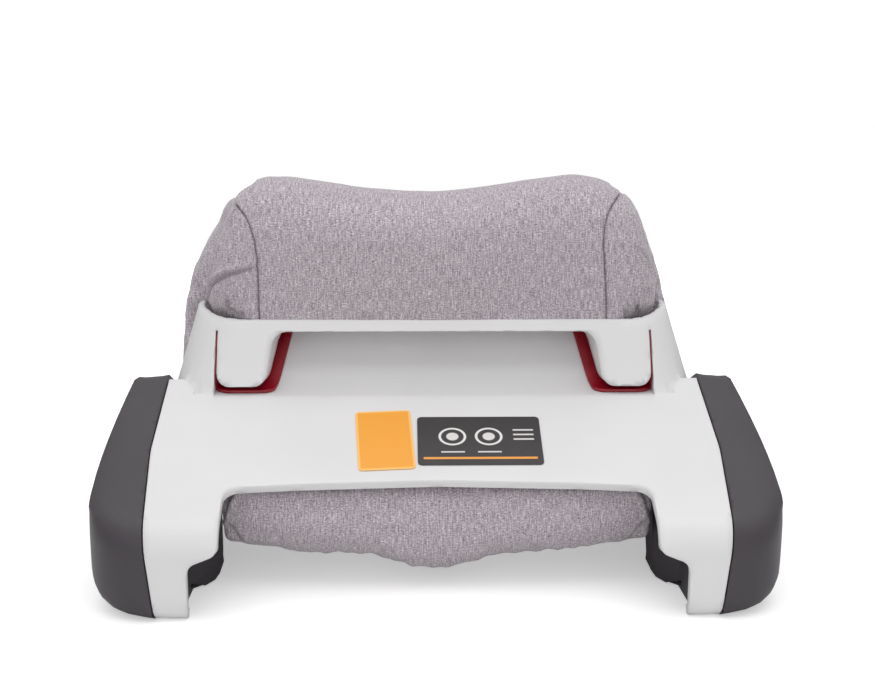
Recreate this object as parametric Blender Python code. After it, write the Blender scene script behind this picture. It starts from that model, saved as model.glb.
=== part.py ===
"""Impact shield of a child car seat: a moulded shell with belt hooks, side covers, foam and padded cover.

All lengths are in metres. Inside this script Y is measured back from the front of the toe, X is across the
shield, and Z is up from the floor. One empty carries every piece and puts the middle of the depth at Y = 0.
"""
import math

import bmesh
import bpy

# The whole shield
overall_depth = 0.270
half_width = 0.2295
fit_gap = 0.0003
overrun = 0.020
shell_wall = 0.0028
weld_gap = 0.00001

# Front panel of the shell, as a side view line: foot, toe, slope up to the crease
foot_round = 0.011
toe_round = 0.024
toe_top_z = 0.060
crease_y = 0.130
crease_z = 0.117
wing_top_y = 0.150
foot_under_y = 0.019

# Outline of the panel and its legs, in the developed sheet; half widths are counted in from the covers
cover_reach = 0.0355
leg_draw = 0.007
foot_draw = 0.0065
top_draw = 0.002
leg_width = 0.0535
panel_half_slope = half_width - cover_reach
panel_half_leg = panel_half_slope - leg_draw
panel_half_foot = panel_half_leg - foot_draw
panel_half_top = panel_half_slope - top_draw
leg_bulge_height = 0.045
slope_bulge_y = 0.076
opening_half = panel_half_slope - leg_width
opening_mid_y = 0.0465
opening_side_y = 0.0405
opening_corner = 0.010
notch_height = 0.041
notch_drop = 0.004
notch_outer_round = 0.009
notch_inner_round = 0.010
foot_width = 0.020
leg_inner = panel_half_foot - foot_width
foot_corner = 0.007
shoulder_width = 0.020
shoulder_half = panel_half_top - shoulder_width
crease_lap = 0.004
outline_sweep = 0.040
flange_depth = 0.006
edge_round = 0.0016

# Upper body of the shell: pillars, lip and rim
body_base_z = 0.111
lip_top_z = 0.1684
body_inset = 0.0004
body_taper = 0.0194
body_half_base = panel_half_top - body_inset
body_half_rim = body_half_base - body_taper
front_lean = 0.0198
corner_radius = 0.040
body_back_y = 0.200
rim_rise = 0.0062
rim_round = 0.0014
rim_wall = 0.0030

# Belt channel under the lip
pillar_width = 0.0341
channel_half = body_half_base - pillar_width
ledge_back_y = 0.152
ledge_back_z = 0.1190
channel_top_y = 0.193
lip_height = 0.0079
tray_floor = 0.0030
cove_round = 0.030

# Belt hooks
hook_gap = 0.0016
hook_bottom_z = 0.1233
hook_width = 0.0344
hook_lean = 0.0051
hook_inner_low = channel_half - hook_gap - hook_width
hook_inner_top = hook_inner_low - hook_lean
hook_round = 0.009
lip_fillet = 0.012
hook_taper = 0.0095
belt_gap = 0.007
hook_wall = 0.003

# Belt guides
guide_thickness = 0.002
guide_front_y = 0.1365
guide_show = 0.0075
guide_lean = 0.0150
guide_inner_low = hook_inner_low - guide_show
guide_inner_top = guide_inner_low - guide_lean
guide_corner = 0.010
guide_upstand = 0.0009
guide_edge_round = 0.0008
guide_setback = 0.0012

# Side covers
cover_wall = 0.003
cover_rear_y = 0.203
cover_rear_top_z = 0.108
cover_rear_foot_y = 0.199
cover_rear_round = 0.008
cover_top_round = 0.012
cover_front_sweep = 0.050
cover_top_drop = 0.008
cover_bottom_lift = 0.028
cover_rear_sweep = 0.020
cover_flare = 0.021
widest_y = 0.050
flare_power = 1.6
front_sweep_power = 2.4
rear_sweep_power = 2.6
bottom_lift_power = 2.3
top_drop_power = 4.0
flank_shares = (0.0, 0.25, 0.5, 0.7, 0.85, 0.95, 1.0)
flank_cap_shares = (0.75, 0.5, 0.2)
core_flank_shares = (0.0, 0.5, 0.8, 0.95, 1.0)
core_cap_shares = (0.6, 0.2)
seat_clearance = 0.0006
core_lap = 0.002
flank_core_x = panel_half_leg - core_lap
inner_wall_inset = 0.0251
inner_wall_x = body_half_base - inner_wall_inset
inner_wall_front_y = 0.045
foot_nose_step = 0.0175
foot_cheek_step = 0.0145
foot_heel_step = 0.0085
foot_nose_x = inner_wall_x - foot_nose_step
foot_nose_y = 0.085
foot_nose_depth = 0.012
foot_cheek_x = inner_wall_x - foot_cheek_step
foot_cheek_front_y = 0.070
foot_cheek_rear_y = 0.110
foot_heel_x = inner_wall_x - foot_heel_step
foot_heel_front_y = 0.0605
foot_heel_rear_y = 0.150
foot_edge_lift = 0.006

# Fasteners
post_radius = 0.004
shank_radius = 0.0014
head_radius = 0.0036
head_height = 0.0022
screw_length = 0.016
foot_post_inset = 0.0095
foot_post_x = panel_half_leg - foot_post_inset
foot_post_front_y = 0.032
foot_post_rear_y = 0.072
boss_radius = 0.0066
boss_height = 0.009
head_recess = 0.0045
pillar_post_inset = 0.0276
pillar_post_x = body_half_base - pillar_post_inset
pillar_post_z = 0.142
core_post_gap = 0.002
core_post_x = opening_half + core_post_gap
core_post_z = 0.088
post_sides = 16
hole_sides = 12

# Carrier plate and foam core
plate_thickness = 0.003
plate_inset = 0.0156
plate_step = 0.016
plate_half = body_half_base - plate_inset
plate_half_low = plate_half - plate_step
rib_height = 0.0022
plate_step_z = 0.113
plate_bottom_z = 0.040
plate_top_z = 0.1625
plate_corner = 0.012
core_side_gap = 0.004
core_half = opening_half - core_side_gap
core_clearance = 0.0015
core_front_y = 0.068
core_bottom_z = 0.047
core_rear_bottom_z = 0.064

# Bolster that lies in the tray
bolster_front_y = 0.1535
bolster_rear_y = 0.2500
bolster_bottom_sink = 0.006
bolster_mid_top_z = 0.2570
bolster_peak_top_z = 0.2675
bolster_shoulder_z = 0.2510
bolster_low_z = 0.2240
bolster_end_z = 0.1800
end_sweep = 0.024
bolster_inset = 0.0044
gusset_width = 0.0432
peak_inset = 0.0066
shoulder_inset = 0.0218
low_inset = 0.0058
bolster_end_x = body_half_rim - bolster_inset
bolster_low_x = bolster_end_x - low_inset
bolster_shoulder_x = bolster_end_x - shoulder_inset
seam_x = bolster_end_x - gusset_width
bolster_peak_x = seam_x - peak_inset
bolster_round_share = 0.8
bolster_draw_share = 0.05
bolster_points = 26
bolster_stations = 14
gusset_shares = (0, 0.2, 0.45, 0.65, 0.8, 0.9, 0.96, 1)

# Chest pad and side pads at the rear
chest_overhang = 0.0029
chest_half = body_half_base + chest_overhang
chest_mid_depth = 0.038
chest_bottom_z = 0.028
chest_arch_z = 0.055
chest_arch_half = 0.090
chest_arch_run = 0.050
chest_corner = 0.014
chest_inner_shares = (0, 0.2, 0.4, 0.55, 0.7, 0.85, 1)
chest_end_shares = (0.5, 0.85, 1)
chest_draw_share = 0.45
chest_depth_share = 0.45
chest_height_share = 0.35
chest_points = 24
side_pad_offset = 0.0067
side_pad_width = 0.0135
side_pad_mid_width = 0.0045
side_pad_top_width = 0.004
side_pad_top_gap = 0.001
side_pad_inner = bolster_end_x + side_pad_offset
side_pad_low_out = side_pad_inner + side_pad_width
side_pad_mid_out = side_pad_inner + side_pad_mid_width
side_pad_mid_z = 0.200
side_pad_top_z = 0.236
side_pad_rear_y = 0.262
side_pad_corner = 0.0067
side_pad_shares = (0, 0.15, 0.5, 0.85, 1)
side_pad_draw_share = 0.3
side_pad_round_share = 0.6
side_pad_bulge_power = 6
side_pad_points = 16

# Lower apron
apron_tuck = 0.005
apron_half = opening_half + apron_tuck
apron_top_y = 0.0560
apron_top_z = 0.0785
apron_bulge = 0.0045
apron_front_y = 0.0535
apron_turn = 0.022
apron_thickness = 0.010
apron_mid_z = 0.0085
apron_inner_z = 0.0185
apron_inner_x = 0.060
apron_outer_z = 0.0265
apron_outer_inset = 0.0255
apron_outer_x = apron_half - apron_outer_inset
apron_end_z = 0.0320
apron_rear_z = 0.0500
apron_swell_power = 4
apron_stations = 16

# Stickers on the panel
sticker_thickness = 0.0004
sticker_corner = 0.003
orange_width = 0.0385
orange_length = 0.063
orange_x = -0.0353
orange_y = 0.0845
orange_turn = 3.4
dark_width = 0.085
dark_length = 0.0515
dark_x = 0.0295
dark_y = 0.0835
dark_turn = 0.0

# Surface finish
hard_angle = 35.0
soft_angle = 60.0
satin_share = 0.42
polished_share = 0.35
grained_share = 0.55
cloth_share = 0.95
foam_share = 0.8
plain_share = 0.5
plated_share = 0.3
film_share = 0.4
laminate_share = 0.3

# Colours
white_plastic = (0.74, 0.74, 0.75)
red_plastic = (0.26, 0.012, 0.022)
dark_plastic = (0.075, 0.066, 0.075)
heather_fabric = (0.42, 0.37, 0.41)
foam_grey = (0.12, 0.12, 0.13)
carrier_grey = (0.10, 0.10, 0.105)
screw_steel = (0.55, 0.55, 0.57)
orange_film = (0.93, 0.42, 0.05)
dark_film = (0.030, 0.026, 0.026)


def clear_scene():
    for item in list(bpy.data.objects):
        bpy.data.objects.remove(item, do_unlink=True)


def make_material(name, colour, roughness, metallic=0.0):
    material = bpy.data.materials.new(name)
    material.use_nodes = True
    shader = material.node_tree.nodes["Principled BSDF"]
    shader.inputs["Base Color"].default_value = (*colour, 1.0)
    shader.inputs["Roughness"].default_value = roughness
    shader.inputs["Metallic"].default_value = metallic
    return material


def add_object(name, mesh_data, material=None, smooth_angle=hard_angle):
    bmesh.ops.recalc_face_normals(mesh_data, faces=mesh_data.faces)
    bmesh.ops.triangulate(mesh_data, faces=mesh_data.faces)
    mesh = bpy.data.meshes.new(name)
    mesh_data.to_mesh(mesh)
    mesh_data.free()
    mesh.shade_smooth()
    mesh.set_sharp_from_angle(angle=math.radians(smooth_angle))
    item = bpy.data.objects.new(name, mesh)
    bpy.context.collection.objects.link(item)
    item.parent = bpy.data.objects["shield_frame"]
    if material:
        mesh.materials.append(material)
    return item


def as_guide(item):
    item.hide_render = True
    item.display_type = "WIRE"
    return item


def combine(target, tool, operation):
    step = target.modifiers.new(tool.name, "BOOLEAN")
    step.operation = operation
    step.solver = "EXACT"
    step.object = as_guide(tool)
    clean = target.modifiers.new(f"{tool.name} seam", "WELD")
    clean.merge_threshold = weld_gap
    return target


def arc_corner(before, corner, after, radius, steps, room_in=0.5, room_out=0.5):
    """Points of the arc that rounds one corner of a line in a plane."""
    into = (before[0] - corner[0], before[1] - corner[1])
    out = (after[0] - corner[0], after[1] - corner[1])
    long_in = math.hypot(*into)
    long_out = math.hypot(*out)
    unit_in = (into[0] / long_in, into[1] / long_in)
    unit_out = (out[0] / long_out, out[1] / long_out)
    cosine = max(-1.0, min(1.0, unit_in[0] * unit_out[0] + unit_in[1] * unit_out[1]))
    half = math.acos(cosine) / 2
    if radius <= 0 or half > math.radians(89):
        return [corner]
    reach = min(radius / math.tan(half), long_in * room_in, long_out * room_out)
    radius = reach * math.tan(half)
    start = (corner[0] + unit_in[0] * reach, corner[1] + unit_in[1] * reach)
    finish = (corner[0] + unit_out[0] * reach, corner[1] + unit_out[1] * reach)
    middle_way = (unit_in[0] + unit_out[0], unit_in[1] + unit_out[1])
    length = math.hypot(*middle_way)
    off = radius / math.sin(half)
    centre = (corner[0] + middle_way[0] / length * off, corner[1] + middle_way[1] / length * off)
    first = math.atan2(start[1] - centre[1], start[0] - centre[0])
    last = math.atan2(finish[1] - centre[1], finish[0] - centre[0])
    turn = (last - first + math.pi) % (2 * math.pi) - math.pi
    angles = [first + turn * k / steps for k in range(steps + 1)]
    return [(centre[0] + radius * math.cos(a), centre[1] + radius * math.sin(a)) for a in angles]


def rounded(corners, closed=True):
    """A line from corners given as (a, b, radius, steps)."""
    line = []
    count = len(corners)
    for k, (a, b, radius, steps) in enumerate(corners):
        if not closed and k in (0, count - 1):
            line.append((a, b))
            continue
        before = corners[k - 1]
        after = corners[(k + 1) % count]
        line += arc_corner(before[:2], (a, b), after[:2], radius, steps,
                           0.5 if before[2] else 1.0, 0.5 if after[2] else 1.0)
    return line


def loft(rings, closed_ends=True):
    """Skin over rings of equally many points."""
    data = bmesh.new()
    rows = [[data.verts.new(point) for point in ring] for ring in rings]
    count = len(rings[0])
    for low, high in zip(rows, rows[1:]):
        for k in range(count):
            n = (k + 1) % count
            data.faces.new((low[k], low[n], high[n], high[k]))
    if closed_ends:
        data.faces.new(rows[0][::-1])
        data.faces.new(rows[-1])
    return data


def prism(outline, axis, low, high):
    """Outline in the two other axes, in XYZ order, drawn from low to high along an axis."""
    def place(point, height):
        spot = list(point)
        spot.insert(axis, height)
        return tuple(spot)
    return loft([[place(p, low) for p in outline], [place(p, high) for p in outline]])


def rod(radius, axis, centre, low, high, sides=post_sides):
    angles = [2 * math.pi * k / sides for k in range(sides)]
    ring = [(centre[0] + radius * math.cos(a), centre[1] + radius * math.sin(a)) for a in angles]
    return prism(ring, axis, low, high)


def blend_between(pairs, at):
    """Smooth value at a place from (place, value) pairs in rising order."""
    if at <= pairs[0][0]:
        return pairs[0][1]
    for (a, va), (b, vb) in zip(pairs, pairs[1:]):
        if at <= b:
            t = (at - a) / (b - a)
            return va + (vb - va) * t * t * (3 - 2 * t)
    return pairs[-1][1]


class SideLine:
    """A line in the side view, with places measured along it."""

    def __init__(self, points, start_at):
        self.points = points
        self.places = [start_at]
        for a, b in zip(points, points[1:]):
            self.places.append(self.places[-1] + math.hypot(b[0] - a[0], b[1] - a[1]))

    def segment(self, place):
        for k in range(len(self.points) - 2):
            if place < self.places[k + 1]:
                return k
        return len(self.points) - 2

    def spot(self, place, lift=0.0):
        """Side view point at a place, lifted off the line on its outer side."""
        k = self.segment(place)
        (ay, az), (by, bz) = self.points[k], self.points[k + 1]
        t = (place - self.places[k]) / (self.places[k + 1] - self.places[k])
        (my, mz), (ny, nz) = self.normal(k), self.normal(k + 1)
        ly, lz = my + (ny - my) * t, mz + (nz - mz) * t
        size = math.hypot(ly, lz)
        return ay + (by - ay) * t + ly / size * lift, az + (bz - az) * t + lz / size * lift

    def normal(self, corner):
        """Unit normal at a corner: between two steps of an arc, or that of the straight run beside it."""
        before = max(0, corner - 1)
        after = min(len(self.points) - 2, corner)
        long_before = self.places[before + 1] - self.places[before]
        long_after = self.places[after + 1] - self.places[after]
        ways = [self.way(before), self.way(after)]
        if long_before > 2 * long_after:
            ways = ways[:1]
        elif long_after > 2 * long_before:
            ways = ways[1:]
        ny = -sum(w[1] for w in ways)
        nz = sum(w[0] for w in ways)
        size = math.hypot(ny, nz)
        return ny / size, nz / size

    def way(self, k):
        (ay, az), (by, bz) = self.points[k], self.points[k + 1]
        size = math.hypot(by - ay, bz - az)
        return (by - ay) / size, (bz - az) / size

    def nearest(self, y, z):
        """Place of the point of the line that lies nearest to a side view point."""
        best = None
        for k in range(len(self.points) - 1):
            ay, az = self.points[k]
            wy, wz = self.way(k)
            length = self.places[k + 1] - self.places[k]
            along = max(0.0, min(length, (y - ay) * wy + (z - az) * wz))
            off = math.hypot(y - ay - wy * along, z - az - wz * along)
            if best is None or off < best[0]:
                best = (off, self.places[k] + along)
        return best[1]

    def place_at_y(self, y):
        """Place on the last straight run that has this Y."""
        (ay, az), (by, bz) = self.points[-2], self.points[-1]
        return self.places[-2] + (y - ay) / (by - ay) * (self.places[-1] - self.places[-2])


def slope_z(y):
    return toe_top_z + (crease_z - toe_top_z) * y / crease_y


def panel_line():
    corners = [(foot_under_y, 0, 0, 1), (0, 0, foot_round, 5), (0, toe_top_z, toe_round, 6),
               (wing_top_y + overrun, slope_z(wing_top_y + overrun), 0, 1)]
    points = rounded(corners, closed=False)
    under = foot_under_y - foot_round
    return SideLine(points, foot_round - foot_round * math.pi / 2 - under)


def drawn_in(outline, inset):
    """Closed outline drawn in by an inset, corner by corner."""
    count = len(outline)
    area = sum(outline[k - 1][0] * outline[k][1] - outline[k][0] * outline[k - 1][1] for k in range(count))
    turn = 1.0 if area > 0 else -1.0
    result = []
    for k in range(count):
        (ax, ay), (bx, by), (cx, cy) = outline[k - 1], outline[k], outline[(k + 1) % count]
        first = math.hypot(bx - ax, by - ay)
        second = math.hypot(cx - bx, cy - by)
        n1 = (-(by - ay) / first * turn, (bx - ax) / first * turn)
        n2 = (-(cy - by) / second * turn, (cx - bx) / second * turn)
        mitre = inset / (1 + n1[0] * n2[0] + n1[1] * n2[1])
        result.append((bx + (n1[0] + n2[0]) * mitre, by + (n1[1] + n2[1]) * mitre))
    return result


def folded_runs(outline, line):
    """Each side of an outline with the points where it crosses the folds of the side line."""
    folds = line.places[1:-1]
    near = fit_gap / 1000
    runs = []
    for k, (ax, ap) in enumerate(outline):
        bx, bp = outline[(k + 1) % len(outline)]
        crossed = [f for f in folds if min(ap, bp) + near < f < max(ap, bp) - near]
        crossed.sort(reverse=bp < ap)
        runs.append([(ax, ap)] + [(ax + (bx - ax) * (f - ap) / (bp - ap), f) for f in crossed])
    return runs


def join_runs(data, upper, lower):
    """Faces between two runs of corners that start and end side by side."""
    if len(upper) == len(lower):
        for k in range(len(upper) - 1):
            data.faces.new((upper[k], upper[k + 1], lower[k + 1], lower[k]))
        return
    i = j = 0
    while i < len(upper) - 1 or j < len(lower) - 1:
        ahead_u = (upper[i + 1].co - upper[0].co).length if i < len(upper) - 1 else math.inf
        ahead_l = (lower[j + 1].co - lower[0].co).length if j < len(lower) - 1 else math.inf
        if ahead_u <= ahead_l:
            data.faces.new((upper[i], upper[i + 1], lower[j]))
            i += 1
        else:
            data.faces.new((upper[i], lower[j + 1], lower[j]))
            j += 1


def folded_cap(data, runs, verts, line):
    """Face over a closed outline, split along the folds."""
    flat = bmesh.new()
    chain = [point for run in runs for point in run]
    over = [vert for run in verts for vert in run]
    corners = [flat.verts.new((x, place, 0)) for x, place in chain]
    flat.faces.new(corners)
    known = dict(zip(corners, over))
    for place in line.places[1:-1]:
        everything = flat.verts[:] + flat.edges[:] + flat.faces[:]
        bmesh.ops.bisect_plane(flat, geom=everything, plane_co=(0, place, 0), plane_no=(0, 1, 0),
                               dist=fit_gap / 500)
    for face in flat.faces:
        data.faces.new([known[vert] for vert in face.verts])
    flat.free()


def formed_slab(name, outline, line, rows, material=None):
    """Slab cut to an outline of (x, place) and formed to a side line; rows give its edge as (inset, lift)."""
    data = bmesh.new()
    layers = []
    for inset, lift in rows:
        runs = folded_runs(drawn_in(outline, inset), line)
        verts = [[data.verts.new((x, *line.spot(place, lift))) for x, place in run] for run in runs]
        layers.append((runs, verts))
    count = len(outline)
    for (_, upper), (_, lower) in zip(layers, layers[1:]):
        for k in range(count):
            n = (k + 1) % count
            join_runs(data, upper[k] + upper[n][:1], lower[k] + lower[n][:1])
    folded_cap(data, *layers[0], line)
    folded_cap(data, *layers[-1], line)
    return add_object(name, data, material)


def mirrored(half):
    """Whole outline from its right half, which starts and ends on the middle line."""
    return half + [(-x, v) for x, v in reversed(half) if x > 0]


def panel_outline(line):
    opening_side = line.place_at_y(opening_side_y)
    opening_mid = line.place_at_y(opening_mid_y)
    top = line.place_at_y(wing_top_y)
    crease = line.place_at_y(crease_y + crease_lap)
    bottom = line.places[0]
    slope_bulge = line.place_at_y(slope_bulge_y)
    step_x = (opening_half + leg_inner) / 2
    corners = [(0, opening_mid, 0, 1),
               (opening_half * 2 / 3, (opening_mid + opening_side) / 2, outline_sweep, 2),
               (opening_half, opening_side, opening_corner, 5),
               (opening_half, notch_height + notch_drop, notch_outer_round, 5),
               (step_x, notch_height, notch_outer_round, 2),
               (leg_inner, notch_height - notch_drop, notch_inner_round, 5),
               (leg_inner, bottom + foot_corner, foot_corner, 2),
               (leg_inner + foot_corner, bottom, foot_corner, 2),
               (panel_half_foot, bottom, 0, 1), (panel_half_leg, leg_bulge_height, outline_sweep, 4),
               (panel_half_slope, slope_bulge, outline_sweep, 3), (panel_half_top, top, 0, 1),
               (shoulder_half, top, 0, 1), (shoulder_half, crease, 0, 1), (0, crease, 0, 1)]
    return mirrored(rounded(corners, closed=False))


def body_front_y(z):
    return crease_y + front_lean * (z - crease_z) / (lip_top_z - crease_z)


def body_face_y(x, z):
    """Front face of the upper body at a half width, on round the corner."""
    past = max(0.0, min(corner_radius, x - body_half(z) + corner_radius))
    return body_front_y(z) + corner_radius - math.sqrt(corner_radius * corner_radius - past * past)


def body_half(z):
    rim_top = lip_top_z + rim_rise
    return body_half_rim + (body_half_base - body_half_rim) * (rim_top - z) / (rim_top - body_base_z)


def body_ring(z, inset=0.0, back=0.0, rise=0.0, steps=7):
    """Plan outline of the upper body at a height, open corners at the front rounded."""
    front = body_front_y(z) + inset
    half = body_half(z) - inset
    radius = corner_radius - inset
    rear = body_back_y + back
    corners = [(-half, rear, 0, 1), (-half, front, radius, steps),
               (half, front, radius, steps), (half, rear, 0, 1)]
    ring = []
    for x, y in rounded(corners):
        swept = min(1.0, max(0.0, (y - front) / radius))
        ring.append((x, y, z + rise * swept * swept * (3 - 2 * swept)))
    return ring


def channel_line(offset=0.0):
    """Side view of the belt channel, from the crease over the ledge and up the cove.

    A positive offset goes into the wall.
    """
    run = channel_top_y - ledge_back_y
    climb = lip_top_z - lip_height - ledge_back_z
    size = math.hypot(run, climb)
    across = (climb / size * offset, -run / size * offset)
    ledge = ledge_back_z - crease_z
    ledge_size = math.hypot(ledge_back_y - crease_y, ledge)
    down = offset * (ledge_back_y - crease_y) / ledge_size
    bend_y = ledge_back_y + offset * (1 - run / size) / (climb / size)
    corners = [(crease_y, crease_z - down, 0, 1), (bend_y, ledge_back_z - down, cove_round, 6),
               (channel_top_y + across[0] + overrun * run / size, ledge_back_z + climb + across[1]
                + overrun * climb / size, 0, 1)]
    return rounded(corners, closed=False)


def cut_at_height(line, z):
    """The part of a rising side view line below a height."""
    kept = [line[0]]
    for a, b in zip(line, line[1:]):
        if b[1] >= z:
            t = (z - a[1]) / (b[1] - a[1])
            kept.append((a[0] + (b[0] - a[0]) * t, z))
            break
        kept.append(b)
    return kept


def channel_prism(name, half, offset, top_z):
    line = cut_at_height(channel_line(offset), top_z)
    front_y = crease_y - 2 * overrun
    outline = [(front_y, line[0][1]), *line, (front_y, top_z)]
    return as_guide(add_object(name, prism(outline, 0, -half, half)))


def hook_back_y(z):
    """Back face of the hooks: parallel to the cove, a belt gap and the guide away from it."""
    run = channel_top_y - ledge_back_y
    climb = lip_top_z - lip_height - ledge_back_z
    size = math.hypot(run, climb)
    off = belt_gap + guide_thickness + fit_gap
    start_y = ledge_back_y - climb / size * off
    start_z = ledge_back_z + run / size * off
    return start_y + (z - start_z) * run / climb


def hook_outline():
    roof = lip_top_z - lip_height
    outer = channel_half - hook_gap
    corners = [(outer, roof + overrun, 0, 1), (outer, hook_bottom_z, hook_round, 5),
               (hook_inner_low, hook_bottom_z, hook_round, 5), (hook_inner_top, roof, lip_fillet, 5),
               (hook_inner_top - 2 * lip_fillet, roof, 0, 1),
               (hook_inner_top - 2 * lip_fillet, roof + overrun, 0, 1)]
    return rounded(corners)


def hook_solid(name, side):
    """Wedge that a hook keeps when the channel is cut; it runs out at the front."""
    outline = hook_outline()
    outer = channel_half - hook_gap
    rings = [[], [], []]
    for x, z in outline:
        share = (outer - x) / (outer - hook_inner_top)
        back = hook_back_y(z)
        front = body_front_y(z)
        taper = hook_taper * share * (back - front) / (channel_top_y - crease_y)
        rings[0].append((side * x, crease_y - 3 * overrun, z))
        rings[1].append((side * x, front, z))
        rings[2].append((side * (x - taper), back, z))
    return as_guide(add_object(name, loft(rings)))


def hook_hollow(name, side):
    """Core of a hook, open to the tray above it."""
    roof = lip_top_z - lip_height
    outer = channel_half - hook_gap - hook_wall
    low = hook_bottom_z + 3 * hook_wall
    corners = [(outer, low), (hook_inner_low + hook_wall, low), (hook_inner_top + hook_wall, roof + overrun),
               (outer, roof + overrun)]
    rings = [[], []]
    for x, z in corners:
        rings[0].append((side * x, body_face_y(x, z) + hook_wall + fit_gap, z))
        rings[1].append((side * x, hook_back_y(z) - hook_wall * 3 / 2, z))
    return as_guide(add_object(name, loft(rings)))


def post_cavity(name, axis, centre, low, high):
    return as_guide(add_object(name, rod(shank_radius + fit_gap, axis, centre, low, high, hole_sides)))


def wing_panel(line, material):
    """Sloped panel with its two legs: a formed sheet with a rounded, turned-in edge."""
    outline = panel_outline(line)
    lean = math.sqrt(0.5)
    rows = [(edge_round, 0), (edge_round * (1 - lean), edge_round * (lean - 1)), (0, -edge_round),
            (0, -flange_depth)]
    panel = formed_slab("front_shell", outline, line, rows, material)
    inside = formed_slab("panel_core", outline, line, [(shell_wall, -shell_wall),
                                                       (shell_wall, -flange_depth - edge_round)])
    return combine(panel, inside, "DIFFERENCE")


def upper_body():
    """Pillars, lip and tray over the panel: an open box that narrows towards its rim."""
    roof = lip_top_z - lip_height
    levels = [body_base_z, crease_z, (crease_z + lip_top_z) / 2, lip_top_z - rim_round]
    rings = [body_ring(z, rise=rim_rise * (z - body_base_z) / (lip_top_z - body_base_z)) for z in levels]
    rings.append(body_ring(lip_top_z, inset=rim_round, rise=rim_rise))
    body = add_object("upper_body", loft(rings))
    tray = add_object("tray", loft([body_ring(z, inset=rim_wall, back=2 * overrun)
                                    for z in (roof + tray_floor, lip_top_z + overrun)]))
    inner = add_object("body_core", loft([body_ring(z, inset=rim_wall, back=2 * overrun)
                                          for z in (body_base_z - overrun, roof)]))
    channel_wall = channel_prism("channel_wall", channel_half + rim_wall, rim_wall, roof + overrun)
    combine(inner, channel_wall, "DIFFERENCE")
    combine(body, tray, "DIFFERENCE")
    return combine(body, inner, "DIFFERENCE")


def screw_posts(shell, side, end):
    """Posts for the screws of a side cover and of the carrier plate."""
    for y, at in ((foot_post_front_y, "front"), (foot_post_rear_y, "rear")):
        top = slope_z(y - post_radius) - shell_wall / 4
        post = rod(post_radius, 2, (side * foot_post_x, y), boss_height + fit_gap, top)
        combine(shell, add_object(f"foot_post_{at}_{end}", post), "UNION")
    pillar_front = body_front_y(pillar_post_z) + corner_radius / 3
    post = rod(post_radius, 1, (side * pillar_post_x, pillar_post_z), pillar_front, body_back_y)
    combine(shell, add_object(f"pillar_post_{end}", post), "UNION")
    panel_y = crease_y * (core_post_z + post_radius - toe_top_z) / (crease_z - toe_top_z)
    post = rod(post_radius, 1, (side * core_post_x, core_post_z), panel_y + shell_wall / 4, body_back_y)
    combine(shell, add_object(f"core_post_{end}", post), "UNION")


def screw_pilots(shell, side, end):
    """Pilot holes in the posts."""
    for y, at in ((foot_post_front_y, "front"), (foot_post_rear_y, "rear")):
        pilot = post_cavity(f"foot_pilot_{at}_{end}", 2, (side * foot_post_x, y), boss_height - overrun,
                            screw_length + fit_gap + head_recess)
        combine(shell, pilot, "DIFFERENCE")
    for x, z, at in ((pillar_post_x, pillar_post_z, "pillar"), (core_post_x, core_post_z, "core")):
        pilot = post_cavity(f"{at}_pilot_{end}", 1, (side * x, z), body_back_y - screw_length,
                            body_back_y + overrun)
        combine(shell, pilot, "DIFFERENCE")


def front_shell(line, material):
    """White moulding: panel with legs, pillars, tray with rim and lip, belt channel and two hooks."""
    shell = wing_panel(line, material)
    combine(shell, upper_body(), "UNION")
    for side, end in ((-1, "left"), (1, "right")):
        screw_posts(shell, side, end)
    channel = channel_prism("belt_channel", channel_half, 0.0, lip_top_z - lip_height)
    for side, end in ((-1, "left"), (1, "right")):
        combine(channel, hook_solid(f"hook_{end}", side), "DIFFERENCE")
    combine(shell, channel, "DIFFERENCE")
    for side, end in ((-1, "left"), (1, "right")):
        combine(shell, hook_hollow(f"hook_hollow_{end}", side), "DIFFERENCE")
        screw_pilots(shell, side, end)
    return shell


def belt_guide(name, side, material):
    """Red liner on ledge and cove behind a hook, with an upstand in the hook's outer gap."""
    roof = lip_top_z - lip_height
    points = cut_at_height(channel_line(), roof - fit_gap - guide_thickness)
    line = SideLine(points, 0.0)
    start = guide_front_y - crease_y
    end = line.places[-1]
    outer = channel_half - fit_gap
    corners = [(outer, start, guide_corner, 4), (outer, end, 0, 1), (guide_inner_top, end, 0, 1),
               (guide_inner_low, start, guide_corner, 4)]
    outline = [(side * x, place) for x, place in rounded(corners)]
    top = fit_gap + guide_thickness
    lean = math.sqrt(0.5)
    rows = [(guide_edge_round, top), (guide_edge_round * (1 - lean), top - guide_edge_round * (1 - lean)),
            (0, top - guide_edge_round), (0, fit_gap)]
    guide = formed_slab(name, outline, line, rows, material)
    foot = crease_z + fit_gap + guide_thickness / 2
    bend = crease_z + guide_corner * 4 / 3
    wall_outline = [(body_face_y(outer, foot) + guide_setback + guide_corner,
                     ledge_back_z + guide_thickness / 2),
                    (body_face_y(outer, bend) + guide_setback, bend),
                    (body_face_y(outer, roof - fit_gap) + guide_setback, roof - fit_gap)]
    back = cut_at_height(channel_line(-fit_gap - guide_thickness / 2), roof - fit_gap)
    wall_outline += [point for point in reversed(back[1:])]
    upstand = prism(wall_outline, 0, side * outer, side * (outer - guide_upstand))
    return combine(guide, add_object(f"{name}_upstand", upstand), "UNION")


def wing_back_y():
    """Where a cover's slope ends, clear of the turned-in edge of the white wing."""
    return wing_top_y + flange_depth / 2 + fit_gap


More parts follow.
